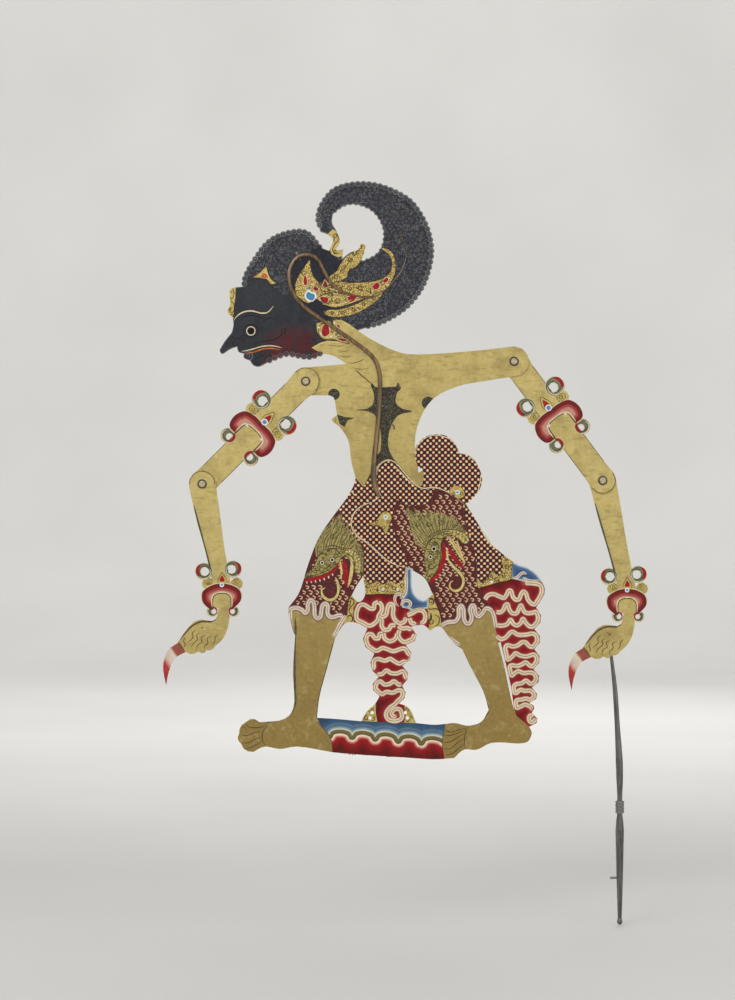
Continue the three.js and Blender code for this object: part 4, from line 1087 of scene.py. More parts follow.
creases = [  # brows, cheeks, lips and nostrils of the two heads
    [(-84.5, 227), (-81, 233), (-76, 235), (-72.5, 232), (-74, 229)],
           [(-74, 233), (-71, 238), (-65, 240), (-59.5, 237), (-58, 231.5)],
    [(-79, 237), (-73, 242), (-65, 243.5), (-58, 241), (-50, 240), (-41, 239)],
           [(-58, 234), (-50, 234.5), (-43.5, 230), (-41, 222), (-42, 213)],
    [(-57, 230), (-51, 231.5), (-46.5, 228), (-46, 219), (-48, 206)],
           [(-97, 207), (-88, 209), (-78, 212), (-69, 217), (-63, 225)],
    [(-90, 212), (-86, 215), (-82, 214.5), (-80, 218)], [(-76, 216), (-71, 219), (-69.5, 223)],
           [(-83, 219), (-79, 220)],
    [(42, 243), (46, 249), (53, 252), (59, 251), (63, 254)],
           [(38, 246), (45, 254), (54, 259), (64, 262), (76, 261), (86, 258)],
    [(45, 245), (50, 247.5), (55, 245), (56, 239), (53, 235)], [(42, 236), (47, 236.5), (51, 234)],
           [(41.5, 228), (46, 225), (51, 227), (54, 232)],
    [(64, 256), (70, 251), (75, 242), (83, 229)], [(69, 246), (75, 236), (83, 224)],
           [(46, 203), (53, 212), (57, 223), (58, 235), (57, 243)],
    [(43, 213), (46, 217), (50, 217), (52, 221)], [(44, 207), (48, 209)], [(49, 221), (47, 222.5)],
    [(-62, 209), (-58, 201), (-57.8, 190), (-61.5, 181.5), (-70, 178.6), (-79, 183.5), (-80.5, 192)],
    [(-65, 205), (-62, 199), (-61.3, 190.5), (-64, 185), (-70, 182.6), (-75, 186)],
    [(67.5, 228.5), (75, 220.5), (82, 213), (86.3, 204), (84, 193.8), (76, 189), (68, 192.5)],
    [(71, 217.5), (78, 210.5), (82.5, 203.5), (81, 196.5), (76, 193), (71.5, 195.5)]]
monsterInk = [(smooth(line), 0.85) for line in creases]
monsterInk += [(smooth(dragon[k] + dragon[k][:1]), 0.7, 0, 0) for k in ("leftSnout", "rightSnout")]
monsterInk += [(spiral(x, z, r, 0.6, a, t), 0.8) for x, z, r, a, t in (
    (-91, 213, 2.3, 20, 1.2), (-85, 217.5, 2.3, 160, -1.2), (-72, 222, 2.2, 40, 1.1), (-62, 231, 2.4, 0, 1.2),
    (-54, 246, 3.0, 90, 1.3),
    (-66, 254, 3.4, 0, -1.3), (45.5, 219.5, 2.2, 30, 1.2), (43.5, 209, 2.0, 90, -1.2), (53, 229, 2.2, 0, 1.2),
    (45, 267, 3.6, 60, 1.4),
    (58, 270, 3.4, 0, -1.3), (33, 268, 3.2, 90, 1.3), (74, 265, 2.8, 0, 1.3))]
strokes("monster_ink", sheetPlate, monsterInk, finishes["ink"], 6)
beads("monster_eyes", sheetPlate, [(-66.5, 226.7, 3.5), (-78, 223.3, 3.3), (50.5, 239.5, 3.8), (46.5, 230, 3.3)],
      finishes["eye"], 6)
teeth = {  # how far a tooth points, and where each one stands
    (0.8, -3.2): [(-96, 202.5), (-91, 203), (-86, 203.6), (-81, 204.6), (-76, 206), (-71, 208.3), (-66.5, 211.4)],
    (3.2, -1.2): [(64, 240), (64.6, 234), (64, 228), (62.4, 222), (59.8, 216), (56, 210), (51.5, 205)],
}
fangs = [(x, z, x + dx, z + dz) for (dx, dz), roots in teeth.items() for x, z in roots]
strokes("monster_teeth", sheetPlate, [(smooth([(a, b), (c, d)], step=0.8), 1.9, 0, 0.9) for a, b, c, d in fangs],
        finishes["white"], 4)

paint("cloth_fringes", sheetPlate, [smooth(cloth["centreFringe"], True), smooth(cloth["rightFringe"], True)],
      finishes["scrollGold"], 5)
flowers = {"sash": [(-25, 267.5), (-18, 271), (-13, 276), (-8, 282), (-2, 282), (2, 276), (0, 269), (-2, 262),
                    (-5, 256), (-9, 263),
                    (-15, 266.5)],
           "hip": [(68, 305), (72, 311), (78, 312), (84, 308), (86, 301), (82, 297.5), (76, 298)]}
paint("gold_flowers", sheetPlate, [smooth(f, True) for f in flowers.values()], finishes["gold"], 3)
fringeInk = [(spiral(x, z, 1.1 * r, 0.6, a, t), 0.9) for x, z, r, a, t in (
    (-25, 196, 3, 0, 1.4), (-17, 195, 3, 90, -1.4), (-3.5, 196, 3, 0, 1.4), (4.5, 195, 2.8, 60, -1.4),
    (14, 197, 2.8, 0, 1.3),
    (107, 202, 2.8, 0, 1.4), (115, 206, 3, 90, -1.4), (123, 204, 2.8, 0, 1.4), (131, 210, 3, 0, -1.4),
    (135, 219, 3, 90, 1.4),
    (134, 227, 2.4, 0, 1.3), (-15, 270, 2.4, 0, 1.3), (-8, 264, 2.4, 90, -1.3), (-2, 270, 2, 0, 1.3),
    (74, 302, 2.2, 0, 1.3),
    (82, 303, 2.2, 90, -1.3))]
fringeInk += [(smooth(cloth[k] + cloth[k][:1]), 0.6, 0, 0) for k in ("centreFringe", "rightFringe")]
fringeInk += [(smooth(f + f[:1]), 0.6, 0, 0) for f in flowers.values()]
strokes("fringe_ink", sheetPlate, fringeInk, finishes["ink"], 6)
beads("fringe_gems", sheetPlate, [(-8, 193, 1.7), (9, 193, 1.7), (-5, 276, 2.6), (77.5, 304.5, 2.6), (117, 201.5, 1.4)],
      finishes["gem"], 6)

ribbonAcross = tuple(np.linspace(-1, 1, 13))
hems = [(leftHem, hem["width"], 0.03, 0.03), (rightHem, hem["width"], 0.03, 0.03)]
hems += [(smooth(hem[k]), 5.2, 0.1, 0.3) for k in ("leftTurn", "leftBackTurn", "rightTurn", "rightBackTurn")]
strokes("cuff_hems", sheetPlate, hems, finishes["hem"], 5, across=ribbonAcross)
print("cloth painted")

# two pleated tails with their ribbons, the base they stand on, and the feet

def hugging(route, plate, rest, reach=7.0):
    # shifts a line so that where it runs near the edge of the hide it keeps the same small distance from it
    a, d = plate["rim"][:, 0], plate["rim"][:, 1] - plate["rim"][:, 0]
    length2 = np.maximum((d ** 2).sum(1), 1e-12)
    shift = np.zeros_like(route)
    for i, p in enumerate(route):
        t = np.clip(((p - a) * d).sum(1) / length2, 0, 1)
        way = a + t[:, None] * d - p
        gap = np.linalg.norm(way, axis=1)
        k = int(gap.argmin())
        pull = min(1.0, max(0.0, (reach - gap[k]) / 2.2))
        shift[i] = way[k] / max(gap[k], 1e-6) * (gap[k] - rest) * pull
    kernel = np.hanning(13)[1:-1] / np.hanning(13).sum()
    padded = np.pad(shift, ((5, 5), (0, 0)), mode="edge")
    return route + np.stack([np.convolve(padded[:, k], kernel, "valid") for k in (0, 1)], 1)


# each tail is a long ribbon folded to and fro; the routes follow the middle of its pale rim
pleats = {
    "middleFold": [(-8, 142), (-12, 141.5), (-13, 137), (-17, 136.5), (-21, 141), (-26, 140), (-28.8, 133),
                   (-27, 126.5),
                   (-21, 122.5), (-14, 123), (-8.5, 125.5), (-3, 124), (4, 121.8), (12, 124.2), (19, 124.2),
                   (23.6, 118),
                   (22.6, 111.5), (16, 107.8), (9, 108), (3, 111.5), (0, 113), (-6, 110.8), (-13, 112.6), (-19, 110),
                   (-21.2, 104), (-19.5, 98), (-14, 94.6), (-8.5, 96.2), (-4, 99.6), (1, 96.6), (8, 96.2), (14.5, 98.2),
                   (19, 94.5), (19.6, 88.5), (16, 83.8), (10, 83.2), (4.5, 87.2), (0, 84.4), (-6, 83.4), (-11, 86.8),
                   (-16.5, 84.4), (-18.4, 78.5), (-15, 73.4), (-9, 72.4), (-4, 75), (3, 74), (9, 76.6), (14.4, 75.6),
                   (16.4, 70.5), (13.5, 65), (7, 61.5), (0, 57), (-4.6, 50), (-2.5, 43.8), (4, 41.4), (11, 43),
                   (14.4, 49),
                   (10.8, 54.6), (4.8, 54.6), (1.8, 50), (4.2, 46.6), (7.6, 47.6)],
    "middleTop": [(-13.5, 178.4), (-18, 176), (-18.6, 171), (-23, 171), (-29, 174.4), (-35.6, 172.4), (-38.6, 166),
                  (-38, 159),
                  (-33.6, 153.6), (-27, 151.2), (-20, 152.4), (-14.6, 157), (-12.8, 163), (-9.6, 168.5), (-9.8, 174.5),
                  (-13.5, 178.4)],
    "middleHook": [(-12.5, 163.5), (-8.4, 161.4), (-4.4, 164.2), (-3.2, 170), (-1.4, 175), (2.2, 175.8), (3.8, 171.4),
                   (3.4, 164),
                   (5.6, 158), (10.6, 154), (16, 155.4), (18.6, 160.6)],
    "middleKnot": [(-13, 160.5), (-9.6, 157.6), (-9.6, 151), (-6.4, 146.4), (-1.4, 147), (1.6, 151.4), (6.6, 151.4)],
    "middleBow": [(-7.2, 143), (-6.4, 136.8), (-0.4, 133.2), (6, 136), (8.6, 142)],
    "middleRight": [(11, 146), (9.6, 140), (13, 134.4), (20, 131.8), (27.4, 134), (30, 140), (27.6, 145.8), (21, 148.4),
                    (14, 148),
                    (9.6, 151)],
    "middleTab": [(20, 163), (25.6, 165.4), (31, 168.6), (37, 168.4), (40.4, 163.6), (39.6, 157), (35.6, 152.6),
                  (29.6, 151.6),
                  (24.6, 154.6), (22.4, 160)],
    "rightTop": [(109, 181), (113, 186.2), (119, 187.4), (126, 184.6), (131, 183), (134, 186.6), (136.4, 191.2),
                 (139.4, 190.8),
                 (141, 185), (144.4, 181), (148.4, 181.6), (150.6, 187), (153.4, 190.4), (156.6, 187.6), (158.4, 181.6),
                 (162.6, 176.6), (168.6, 176), (173.6, 181), (175, 189.6), (172, 197), (164, 199.8), (155, 200.2)],
    "rightSecond": [(122, 167), (126.4, 166.4), (130, 169), (132.4, 174.4), (135.2, 175.6), (137, 170), (140.6, 165.4),
                    (145.6, 165.6),
                    (148.2, 170.6), (150.6, 174.6), (152.8, 170), (156, 166), (162.6, 165.6), (168.6, 167),
                    (171.6, 162),
                    (171.2, 155.6), (167, 150.8), (160.6, 150.4), (156, 154.6), (152.8, 159), (150, 154), (146, 151.4),
                    (141.6, 153.4), (138.6, 158), (134.8, 153), (129, 151.2), (122, 151.8)],
    "rightFold": [(122, 140), (127, 136.4), (133, 137.6), (138, 143), (141.6, 144), (147, 140.8), (155, 140.6),
                  (163, 141.6),
                  (168.6, 138.4), (169.8, 132), (166, 127.2), (160.4, 127.6), (156, 131.8), (151.6, 132), (147, 128.6),
                  (141, 127.2), (135.4, 128.8), (132.2, 124.4), (131.6, 118), (133, 113), (137, 112.6), (141, 116),
                  (144.6, 119.4), (149.6, 116.8), (157, 115.8), (164.6, 117.4), (169.4, 113.6), (169.6, 108),
                  (165.6, 104),
                  (160.4, 105.6), (156, 109), (151.6, 106.6), (146, 104.8), (140, 105.6), (136.4, 101.6), (136.4, 96),
                  (140, 93.6), (144.2, 97), (148, 98.8), (153, 96.8), (160, 96.8), (166, 95.6), (168.2, 90.4),
                  (165.6, 85.6),
                  (160.6, 85), (156.6, 88), (151.4, 85), (145, 83.6), (141.4, 79.6), (142, 74.6), (146, 74),
                  (150, 77.4),
                  (155, 76), (161, 75.8), (165.6, 73), (165.8, 68), (161.8, 65.2), (157, 67.6), (151.4, 66.2),
                  (146, 65.2),
                  (144, 60.8), (146, 56.6), (150, 58), (154, 60), (159, 60), (163, 58.4), (163.6, 54), (166.6, 50),
                  (168.2, 44.6), (165, 40.6), (160.6, 41.4), (159.4, 45.6), (162, 48), (164.4, 46)],
}
tailZone = {
    "middle": [(-31, 189), (17, 188), (20, 176), (27, 170), (43, 172), (45, 150), (30, 128), (28, 104), (22, 82),
               (20, 62), (16.5, 58),
               (18, 48), (16, 39.6), (-14.5, 40.4), (-16.5, 52), (-16, 60), (-22, 66), (-26, 90), (-34, 120),
               (-42, 152), (-42, 172)],
    "right": [(102, 197), (125, 203), (139, 205), (150, 203), (162, 199), (177, 198), (186, 190), (186, 40), (166, 33),
              (161, 34.5),
              (152, 42), (145, 48), (140, 70), (132, 104), (126, 128), (121, 148), (118, 168), (110, 182)],
}
ribbons = [hugging(smooth(route, step=1.0), sheetPlate, 3.3) for route in pleats.values()]
for key, outline in tailZone.items():
    paint(f"{key}_tail_ground", sheetPlate, [np.array(outline, float)], finishes["tail"], 3, grid=1.1, deep=99,
          measure=[r for name, r in zip(pleats, ribbons) if name.startswith(key)])
widths = {"middleFold": 7.4, "middleTop": 7.4, "middleHook": 6.6, "middleKnot": 6.4, "middleBow": 6.6,
          "middleRight": 7.0,
          "middleTab": 7.0, "rightTop": 7.4, "rightSecond": 7.0, "rightFold": 7.0}
strokes("tail_pleats", sheetPlate, [(r, widths[key], 0.012, 0.03) for key, r in zip(pleats, ribbons)],
        finishes["ribbon"], 5,
        across=ribbonAcross)
folds = [
    (smooth([(18.4, 219), (18.6, 205), (18.4, 192), (15, 185.6), (9.4, 187.6), (5.6, 183.6), (6.6, 176.6), (11, 173)]),
     3.6),
    (smooth([(11, 182), (13.6, 183.4), (12.6, 186)]), 2.0),
    (smooth([(12, 173.6), (15, 178.6), (19.6, 180), (23.4, 177.6), (22.6, 173.6), (18.4, 172)]), 3.6),
    (smooth([(20, 165.4), (26, 168.4), (33, 170.6), (41, 170)]), 2.4),
    (smooth([(140, 206), (145.6, 206.4), (150, 210.4), (154, 212), (157.4, 209.6)]), 3.4),
    (smooth([(152.6, 201), (154, 205.6), (158, 203.4), (166, 202.4), (174, 203.6)]), 3.0),
]
strokes("tail_folds", sheetPlate, folds, finishes["hem"], 6, across=ribbonAcross)

blues = {
    "middle": [(18.5, 219), (21, 217), (26, 217), (27.5, 205), (29, 194), (34, 184), (44, 181), (44, 171), (36, 170.5),
               (27, 168),
               (20, 171), (14, 172), (13, 180), (18, 188), (19, 200)],
    "right": [(139, 228), (150, 226), (170, 222), (184, 205), (180, 197), (170, 199), (160, 200), (150, 203),
              (139, 205.5)],
}
paint("blue_lining", sheetPlate, [blues["middle"], blues["right"]], finishes["blue"], 4, grid=1.3, deep=8)

sideCurls = {
    "left": [(-48.5, 190), (-42, 188), (-36, 180), (-38, 172), (-42, 166), (-39, 158), (-41, 151), (-50, 151),
             (-54, 156), (-50.5, 163),
             (-49.5, 176)],
    "right": [(39, 188), (50, 188), (53, 181), (56, 172), (59, 166), (60, 152), (54, 143), (42, 144), (38, 152),
              (43, 160), (44, 168),
              (38, 176)],
}
haloArc = [(-1.5 + 32 * math.cos(a), 40 + 32 * math.sin(a)) for a in np.linspace(math.pi - 0.05, 0.02, 28)]
haloOutline = haloArc + [(30.4, 38.9), (0, 39.6), (-33.3, 41.2)]
paint("gold_curls", sheetPlate, [sideCurls["left"], sideCurls["right"], haloOutline], finishes["gold"], 0)
curlInk = [(smooth(p), 1.4 * w) for p, w in (
    ([(-46, 184), (-42, 181), (-42, 176), (-46, 172), (-47, 167), (-43, 163)], 0.9),
    ([(-50, 172), (-46, 176), (-45, 181)], 0.8), ([(-50, 160), (-46, 163), (-43, 160), (-44, 156), (-47, 156)], 1.0),
    ([(44, 182), (49, 182), (50, 177), (47, 175)], 1.1), ([(42, 176), (46, 170), (53, 171), (56, 168)], 0.9),
    ([(47, 166), (47, 159), (44, 156), (46, 152)], 1.6), ([(50, 164), (56, 161), (56, 154), (50, 149)], 0.8))]
curlInk += [(spiral(x, z, 1.15 * r, 0.5, a, t), 1.05) for x, z, r, a, t in (
    (-27, 45, 3, 0, 1.4), (-20, 44, 2.6, 90, -1.3), (-22, 53, 2.8, 0, 1.4), (20, 54, 2.6, 0, 1.3),
    (20, 43, 2.6, 90, -1.4),
    (26, 47, 2.4, 0, 1.3), (15, 59, 2, 0, 1.2), (-46, 180, 2.6, 0, 1.2), (47, 155, 3, 120, -1.3),
    (47, 179, 2.6, 0, 1.3))]
curlInk += [(np.array(haloArc) * 0.985 + np.array([-0.02, 0.6]), 0.7, 0, 0)]
strokes("gold_curl_ink", sheetPlate, curlInk, finishes["ink"], 1)

base = {
    "outline": [(-84.5, 47), (-80, 37), (-74, 31), (-69, 24), (-66.5, 16), (-66, 2), (-30, -4), (20, -8), (63, -9),
                (61.5, 6),
                (60, 16), (61, 26), (63, 36), (66, 41), (45, 50), (31, 50), (30.5, 38.9), (0, 39.8), (-33, 41.4),
                (-34, 50),
                (-60, 52)],
    "ends": [(-95, 26), (75, 14)],
    "scallops": [(-70, 25, 0), (-43.5, 24, 7), (-17, 22, 7), (9.5, 19.5, 7.4), (36, 17.5, 7.4), (64, 15.5, 7.4)],
}


def scallopLine():
    # the waved edge between the blue and the red of the base
    points = [base["ends"][0]]
    for (x0, z0, _), (x1, z1, rise) in zip(base["scallops"][:-1], base["scallops"][1:]):
        for t in np.linspace(0, 1, 14)[:-1]:
            arch = rise * math.sqrt(max(0.0, 1 - (2 * t - 1) ** 2))
            points.append((x0 + (x1 - x0) * t, z0 + (z1 - z0) * t + arch))
    return np.array(points + [base["ends"][1]], float)


paint("base_bands", sheetPlate, [base["outline"]], finishes["base"], 2, grid=1.0, deep=99, measure=[scallopLine()],
      signed=True)
dice = np.random.default_rng(11)
dotX, dotZ = dice.uniform(-62, 58, 420), dice.uniform(-1, 13, 420)
baseDots = [(x, z, 0.45) for x, z in zip(dotX, dotZ) if z > 3.5 - 0.05 * (x + 60)]
beads("base_stipple", sheetPlate, baseDots[:240], finishes["ink"], 3, 0.02)

feetInk = [(smooth(p), 1.0, 0.15, 0.4) for p in (
    [(-166.5, 38.5), (-162, 34.5), (-153, 33.8), (-146, 35), (-141, 38)],
    [(-171, 25.5), (-164, 24.7), (-157, 28), (-147, 29.5)],
    [(-170, 16.5), (-163, 16.5), (-154, 21), (-146.5, 23.5)],
    [(-166, 9.5), (-159, 11.5), (-152, 15.5), (-147, 18)],
    [(-140, 36.5), (-144.5, 32), (-147, 25), (-146, 17), (-141, 12.5)],
    [(64.5, 32), (70, 28.5), (78, 31), (90, 34)],
    [(62, 24.5), (70, 25), (80, 28.5), (88, 31)],
    [(61.5, 17), (69, 17.5), (79, 23.5), (87, 27)],
    [(61.5, 10), (69, 9.5), (77, 16), (86, 22)],
    [(64, 2.5), (71, 4), (79, 10), (85, 15)],
    [(89, 33), (86.5, 27), (85.5, 18), (86, 10)])]
feetInk += [(smooth(p), 0.7) for p in ([(-164, 43), (-158, 45), (-153, 42)], [(-172.5, 33), (-168, 34.5), (-165, 31)],
                                       [(66, 36), (70, 38.5), (75, 36)], [(63.5, 28.5), (66.5, 29.5), (68, 27.5)])]
strokes("toe_lines", sheetPlate, feetInk, finishes["softInk"], 3)
shinShade = [(smooth([(-108.8, 160), (-108.6, 140), (-109.8, 110), (-109.4, 80), (-109, 60), (-116, 48), (-128, 42),
                      (-142, 39.6)]), 2.6, 0.1, 0.2),
             (smooth([(80.5, 125), (92.5, 102), (106, 76), (113.2, 57), (110.5, 47), (103, 40.5), (95, 37.6)]), 2.6,
              0.1, 0.2),
             (smooth([(-62, 137), (-57.5, 148), (-54.5, 156)]), 1.4)]
strokes("shin_shade", sheetPlate, shinShade, finishes["shade"], 0)
strokes("leg_edges", sheetPlate, [(smooth([(-84.6, 44), (-81.4, 70), (-73.6, 100), (-67.8, 122), (-64.6, 134)]), 0.9,
                                   0.1, 0.1),
                                  (smooth([(142.6, 55), (137, 80), (131.4, 106), (125, 131)]), 0.9, 0.1, 0.1),
                                  (smooth([(-84, 41), (-75, 31), (-69, 23), (-66.6, 13), (-66.3, 5)]), 0.8, 0.1, 0.1),
                                  (smooth([(61, 5), (60.3, 16), (61.5, 27), (65, 37)]), 0.8, 0.1, 0.1)],
        finishes["softInk"], 4)
print("legs, tails and base painted")

# armlets, wristlets, hands and nails: made once, worn on both sides

armlet = {
    "outer": [(-15, -100.5), (-26.5, -99), (-30.5, -86), (-25.5, -73), (-14, -68.6), (0, -68.4), (14, -68.6),
              (25.5, -73),
              (30.5, -86), (26.5, -99), (15, -100.5)],
    "arch": [(14.5, -101), (14.6, -90), (13, -84.5), (8, -81.6), (0, -81), (-8, -81.6), (-13, -84.5), (-14.6, -90),
             (-14.5, -101)],
    "leaf": [(-4.5, -68), (-5.5, -62), (-3.5, -57), (0, -51), (3.5, -57), (5.5, -62), (4.5, -68)],
}
wristlet = {
    "outer": [(-15, -30), (-23, -21.5), (-23, -9), (-12, -1), (0, 1), (12, -1), (21.5, -7.5), (23, -19), (14, -29.5)],
    "arch": [(10.3, -30), (10.3, -17), (6, -12), (0, -11), (-6, -12), (-10.3, -17), (-10.3, -30)],
    "leaf": [(-4, 0), (-4.5, 5), (-2, 9), (0, 13), (2.5, 9), (5, 5), (4.5, 0)],
}
arms = {
    "left": {"shoulder": pivots["left_shoulder_pivot"], "elbow": pivots["left_elbow_pivot"], "wrist": (-193.1, 199.6)},
    "right": {"shoulder": pivots["right_shoulder_pivot"], "elbow": pivots["right_elbow_pivot"],
              "wrist": (273.1, 193.3)},
}


def wearArmlet(name, plate, origin, angle, shape, curls, rosettes, gem):
    # a painted band with its curls, gold rosettes and gem, drawn about origin
    def at(points):
        return turnedTo(origin, angle, points)

    outer, arch = smooth(shape["outer"]), smooth(shape["arch"])
    band = at(np.vstack([outer, arch]))
    paint(f"{name}_band", plate, [band], finishes["armlet"], 3, grid=0.9, deep=16, measure=[at(outer)])
    rings = [at(oval(x, z, r)) for x, z, r in curls]
    paint(f"{name}_curls", plate, rings, finishes["curl"], 1, grid=1.0, deep=8)
    light, tips, dark = [], [], []
    for (x, z, r), s in zip(curls, (1, -1, -1, 1)):  # which way each curl winds
        turn = 90 + s * 60
        light.append((at(spiral(x, z, 0.9 * r, 0.78 * r, turn + s * 60, s * 0.5)), 1.0))
        tips.append((at(spiral(x, z, 0.84 * r, 0.72 * r, turn - s * 40, s * 0.32)), 0.34 * r, 0.3, 0.1))
        dark.append((at(spiral(x, z, 0.62 * r, 0.6 * r, turn, s * 0.9)), 0.9))
    strokes(f"{name}_curl_light", plate, light, finishes["creamLine"], 2)
    strokes(f"{name}_curl_red", plate, tips, finishes["red"], 3)
    strokes(f"{name}_curl_ink", plate, dark, finishes["ink"], 3)
    petals, scrolls = [], []
    for x, z, r in rosettes:
        petals.append(at(oval(x, z, r, r * 0.85)))
        outwardSign = 1 if x > 0 else -1
        petals += [at(oval(x + outwardSign * r * c, z + r * s, r * 0.42)) for c,
                   s in ((0.8, 0.7), (1.1, 0.1), (0.9, -0.5))]
        scrolls.append((at(spiral(x, z, 0.62 * r, 0.4, 0, outwardSign * 1.6)), 0.75))
        scrolls.append((at(oval(x, z, r, r * 0.85)[list(range(36)) + [0]]), 0.5, 0, 0))
    petals.append(at(smooth(shape["leaf"], True)))
    paint(f"{name}_gold", plate, petals, finishes["gold"], 2)
    leaf = np.array(shape["leaf"], float)
    middle = leaf.mean(0)
    scrolls += [(at(smooth(shape["leaf"])), 0.7), (at(arch[2:-2]), 1.0, 0.05, 0.05)]
    strokes(f"{name}_ink", plate, scrolls, finishes["ink"], 4)
    middleX = arch[:, 0].mean()
    rimLight = np.stack([middleX + (arch[:, 0] - middleX) * 1.09, arch[:, 1] + 1.1], 1)
    strokes(f"{name}_arch_light", plate, [(at(rimLight[2:-2]), 1.5, 0.08, 0.08)], finishes["creamLine"], 4)
    paint(f"{name}_leaf_red", plate, [at(smooth(middle + (leaf - middle) * 0.55, True))], finishes["red"], 3)
    beads(f"{name}_gem", plate, [(*at([gem[:2]])[0], gem[2])], finishes["gem"], 6, 0.06)


upperCurls = [(-20.8, -51, 11.4), (20.8, -51, 11.4), (-18.5, -107, 9), (18.5, -107, 9)]
wristCurls = [(-20.6, 14, 10), (12.8, 16.5, 10), (-11, -32, 6.5), (13.5, -32, 6.5)]
hand = {
    "claw": [(-50.5, -66), (-46, -71), (-41, -80), (-30, -90), (-60, -122), (-80, -120), (-80, -80)],
    "clawFoot": [(-53, -64), (-40, -82)],
    "fingers": [
        [(-30, -53), (-34, -57), (-33, -61), (-36, -65), (-40, -68)],
        [(-25, -56), (-29, -60), (-28, -64), (-33, -69), (-36, -74)],
        [(-19, -59), (-24, -62), (-23, -67), (-28, -71), (-29, -77)],
        [(-12, -60), (-17, -63), (-16, -68), (-20, -72), (-20, -76)],
        [(-4, -58), (-8, -62), (-8, -66), (-11, -70)],
        [(-42, -62), (-44, -66), (-42, -70), (-44, -73)]],
    "knuckle": [(-24, -50), (-20, -52), (-18, -50)],
    "nailRoot": [(-51, -68), (-48.5, -70), (-44, -76), (-41.6, -78.6)],
    "back": [(-7, -41), (-12, -43.6), (-24, -43.8), (-34, -48.5), (-43, -58), (-50, -67)],
    "forearmShade": [(0.18, 14.2), (0.36, 13.0), (0.67, 10.5), (0.9, 9.3)],  # share of the forearm, mm to the side
}
shoulderArc, elbowArc = oval(0, 0, 15.4)[:19], oval(0, 0, 14.5)[:19]  # half rings just inside the round ends
for side, arm in arms.items():
    shoulder, elbow = (arm[k][[0, 2]] for k in ("shoulder", "elbow"))
    drop = elbow - shoulder
    angle = math.atan2(drop[0], -drop[1])
    length = float(np.linalg.norm(drop))
    upper, fore = plates[f"{side}_upper_arm"], plates[f"{side}_forearm"]
    wearArmlet(f"{side}_armlet", upper, shoulder, angle, armlet, upperCurls, [(-19, -65.5, 5), (19, -65.5, 5)],
               (0, -66.5, 3.8))
    wearArmlet(f"{side}_wristlet", fore, arm["wrist"], 0.0, wristlet, wristCurls, [(-15.5, 2, 4.2), (15.5, 3, 4.2)],
               (0, -1.5, 2.6))
    wrist = np.array(arm["wrist"], float)
    paint(f"{side}_nail", fore, [wrist + np.array(hand["claw"], float)], finishes["claw"], 2, grid=1.4, deep=20,
          measure=[wrist + np.array(hand["clawFoot"], float)])
    fingers = [(wrist + smooth(p, step=0.9), 0.9) for p in hand["fingers"]] + [(wrist + smooth(hand["knuckle"]), 0.7)]
    fingers.append((wrist + smooth(hand["nailRoot"]), 0.9))
    strokes(f"{side}_finger_lines", fore, fingers, finishes["softInk"], 2)
    backOfHand = [(wrist + smooth(hand["back"]), 2.0, 0.1, 0.3)]
    way = wrist - elbow
    sideways = np.array([way[1], -way[0]]) / np.linalg.norm(way)
    shadeRoute = smooth([elbow + way * t + sideways * s for t, s in hand["forearmShade"]])
    strokes(f"{side}_forearm_shade", fore, backOfHand + [(shadeRoute, 2.2, 0.15, 0.15)], finishes["shade"], 1)
    outlineUpper = [(turnedTo(shoulder, angle, smooth(p)), 0.7, 0.03, 0.03) for p in (
        [(-armSide, -16), (-armSide, -0.5 * length), (-armSide, -length + 15)] for armSide in (14.2, -14.2))]
    roundEnds = [(turnedTo(shoulder, angle, shoulderArc), 0.8, 0, 0), (turnedTo(elbow, angle, -elbowArc), 0.8, 0, 0)]
    strokes(f"{side}_arm_edges", upper, roundEnds + outlineUpper, finishes["softInk"], 0)
    strokes(f"{side}_elbow_edge", fore, [(elbow + elbowArc, 0.8, 0, 0)], finishes["softInk"], 0)
print("arms painted")

# pale floor, camera and soft lights

low = min(corner[2] for corner in cadBox)
stage = {"radius": 6.5, "flat": 4.2, "height": 5.0, "drop": 0.0015}


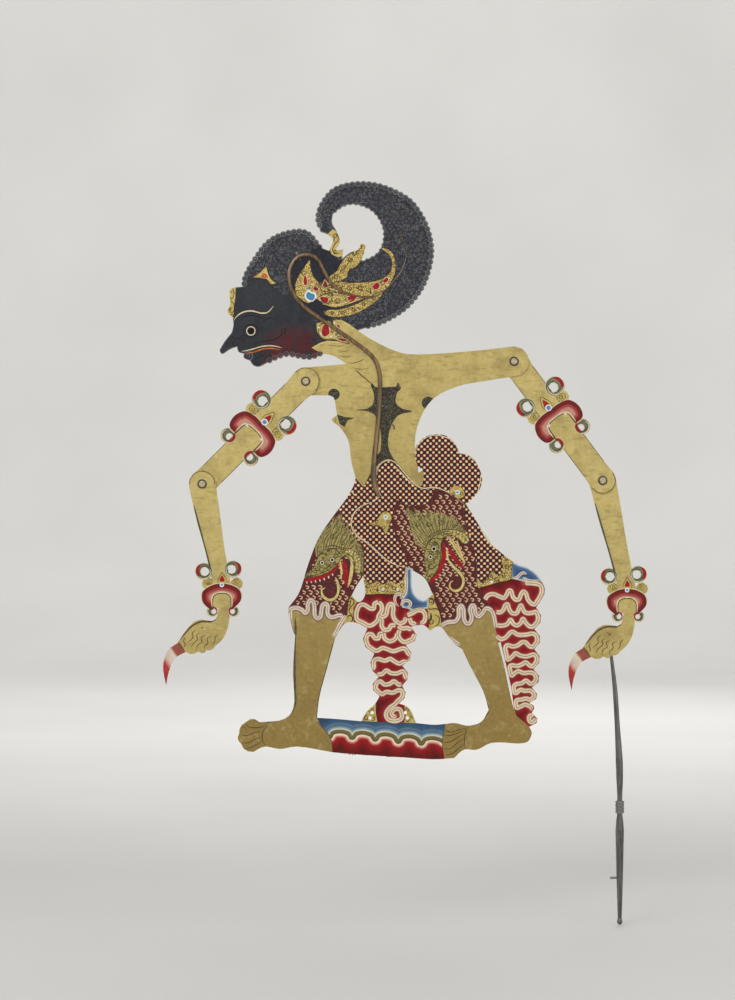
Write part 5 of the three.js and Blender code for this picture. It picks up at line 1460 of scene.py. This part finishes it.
def paleBowl():
    # a pale floor that turns up smoothly into a wall all round
    turn = stage["radius"] - stage["flat"]
    profile = [(0.02, 0), (1.5, 0), (stage["flat"], 0)]
    bend = np.linspace(0.1, math.pi / 2, 12)
    profile += [(stage["flat"] + turn * math.sin(a), turn * (1 - math.cos(a))) for a in bend]
    profile.append((stage["radius"], stage["height"]))
    sides = 96
    points = [(r * math.cos(2 * math.pi * k / sides), r * math.sin(2 * math.pi * k / sides), z + low - stage["drop"])
              for r, z in profile for k in range(sides)]
    faces = [[i * sides + k, i * sides + (k + 1) % sides, (i + 1) * sides + (k + 1) % sides, (i + 1) * sides + k]
             for i in range(len(profile) - 1) for k in range(sides)]
    faces.append(list(range(sides))[::-1])
    mesh = bpy.data.meshes.new("pale_floor")
    mesh.from_pydata(points, [], [f[::-1] for f in faces])
    mesh.polygons.foreach_set("use_smooth", [True] * len(mesh.polygons))
    obj = bpy.data.objects.new("pale_floor", mesh)
    bpy.context.scene.collection.objects.link(obj)
    f = Finish("pale_floor")
    tone = f.mix(f.spread(f.noise(700, 2), 0.3, 0.7, 0, 1), tint(212, 211, 208), tint(206, 205, 202))
    mesh.materials.append(f.finish(tone, blotch=0.01, rough=(0.8, 0.9), bump=0.02))


paleBowl()
camera = {"lens": 85, "x": -0.0259, "z": 0.2956, "away": 2.715}
cameraData = bpy.data.cameras.new("camera")
cameraData.lens = camera["lens"]
cameraData.sensor_width = 36
cameraObject = bpy.data.objects.new("camera", cameraData)
cameraObject.location = (camera["x"], sheetPlate["front"] * mm - camera["away"], camera["z"])
cameraObject.rotation_euler = (math.pi / 2, 0, 0)
bpy.context.scene.collection.objects.link(cameraObject)
bpy.context.scene.camera = cameraObject

softLights = {
    "key": {"at": (-1.5, -2.6, 1.9), "size": 1.8, "power": 48},
    "fill": {"at": (1.9, -2.3, 0.7), "size": 2.2, "power": 22},
    "wall": {"at": (0.0, 1.6, 3.8), "size": 3.0, "power": 128, "towards": (0, 6.4, 2.4)},
    "rear": {"at": (0.0, -1.6, 3.8), "size": 3.0, "power": 80, "towards": (0, -6.4, 2.4)},
    "back": {"at": (0.8, 2.6, 1.7), "size": 2.2, "power": 19},
}
for key, spec in softLights.items():
    lamp = bpy.data.lights.new(key, "AREA")
    lamp.size = spec["size"]
    lamp.energy = spec["power"]
    lampObject = bpy.data.objects.new(key, lamp)
    lampObject.location = spec["at"]
    aim = Vector(spec.get("towards", (0, 0, 0.25))) - Vector(spec["at"])
    lampObject.rotation_euler = aim.to_track_quat("-Z", "Y").to_euler()
    lampObject.visible_camera = False
    bpy.context.scene.collection.objects.link(lampObject)
world = bpy.data.worlds.new("soft_room")
world.use_nodes = True
world.node_tree.nodes["Background"].inputs["Color"].default_value = (1, 1, 1, 1)
world.node_tree.nodes["Background"].inputs["Strength"].default_value = 0.68
bpy.context.scene.world = world
bpy.context.scene.view_settings.view_transform = "Standard"
print("stage set")
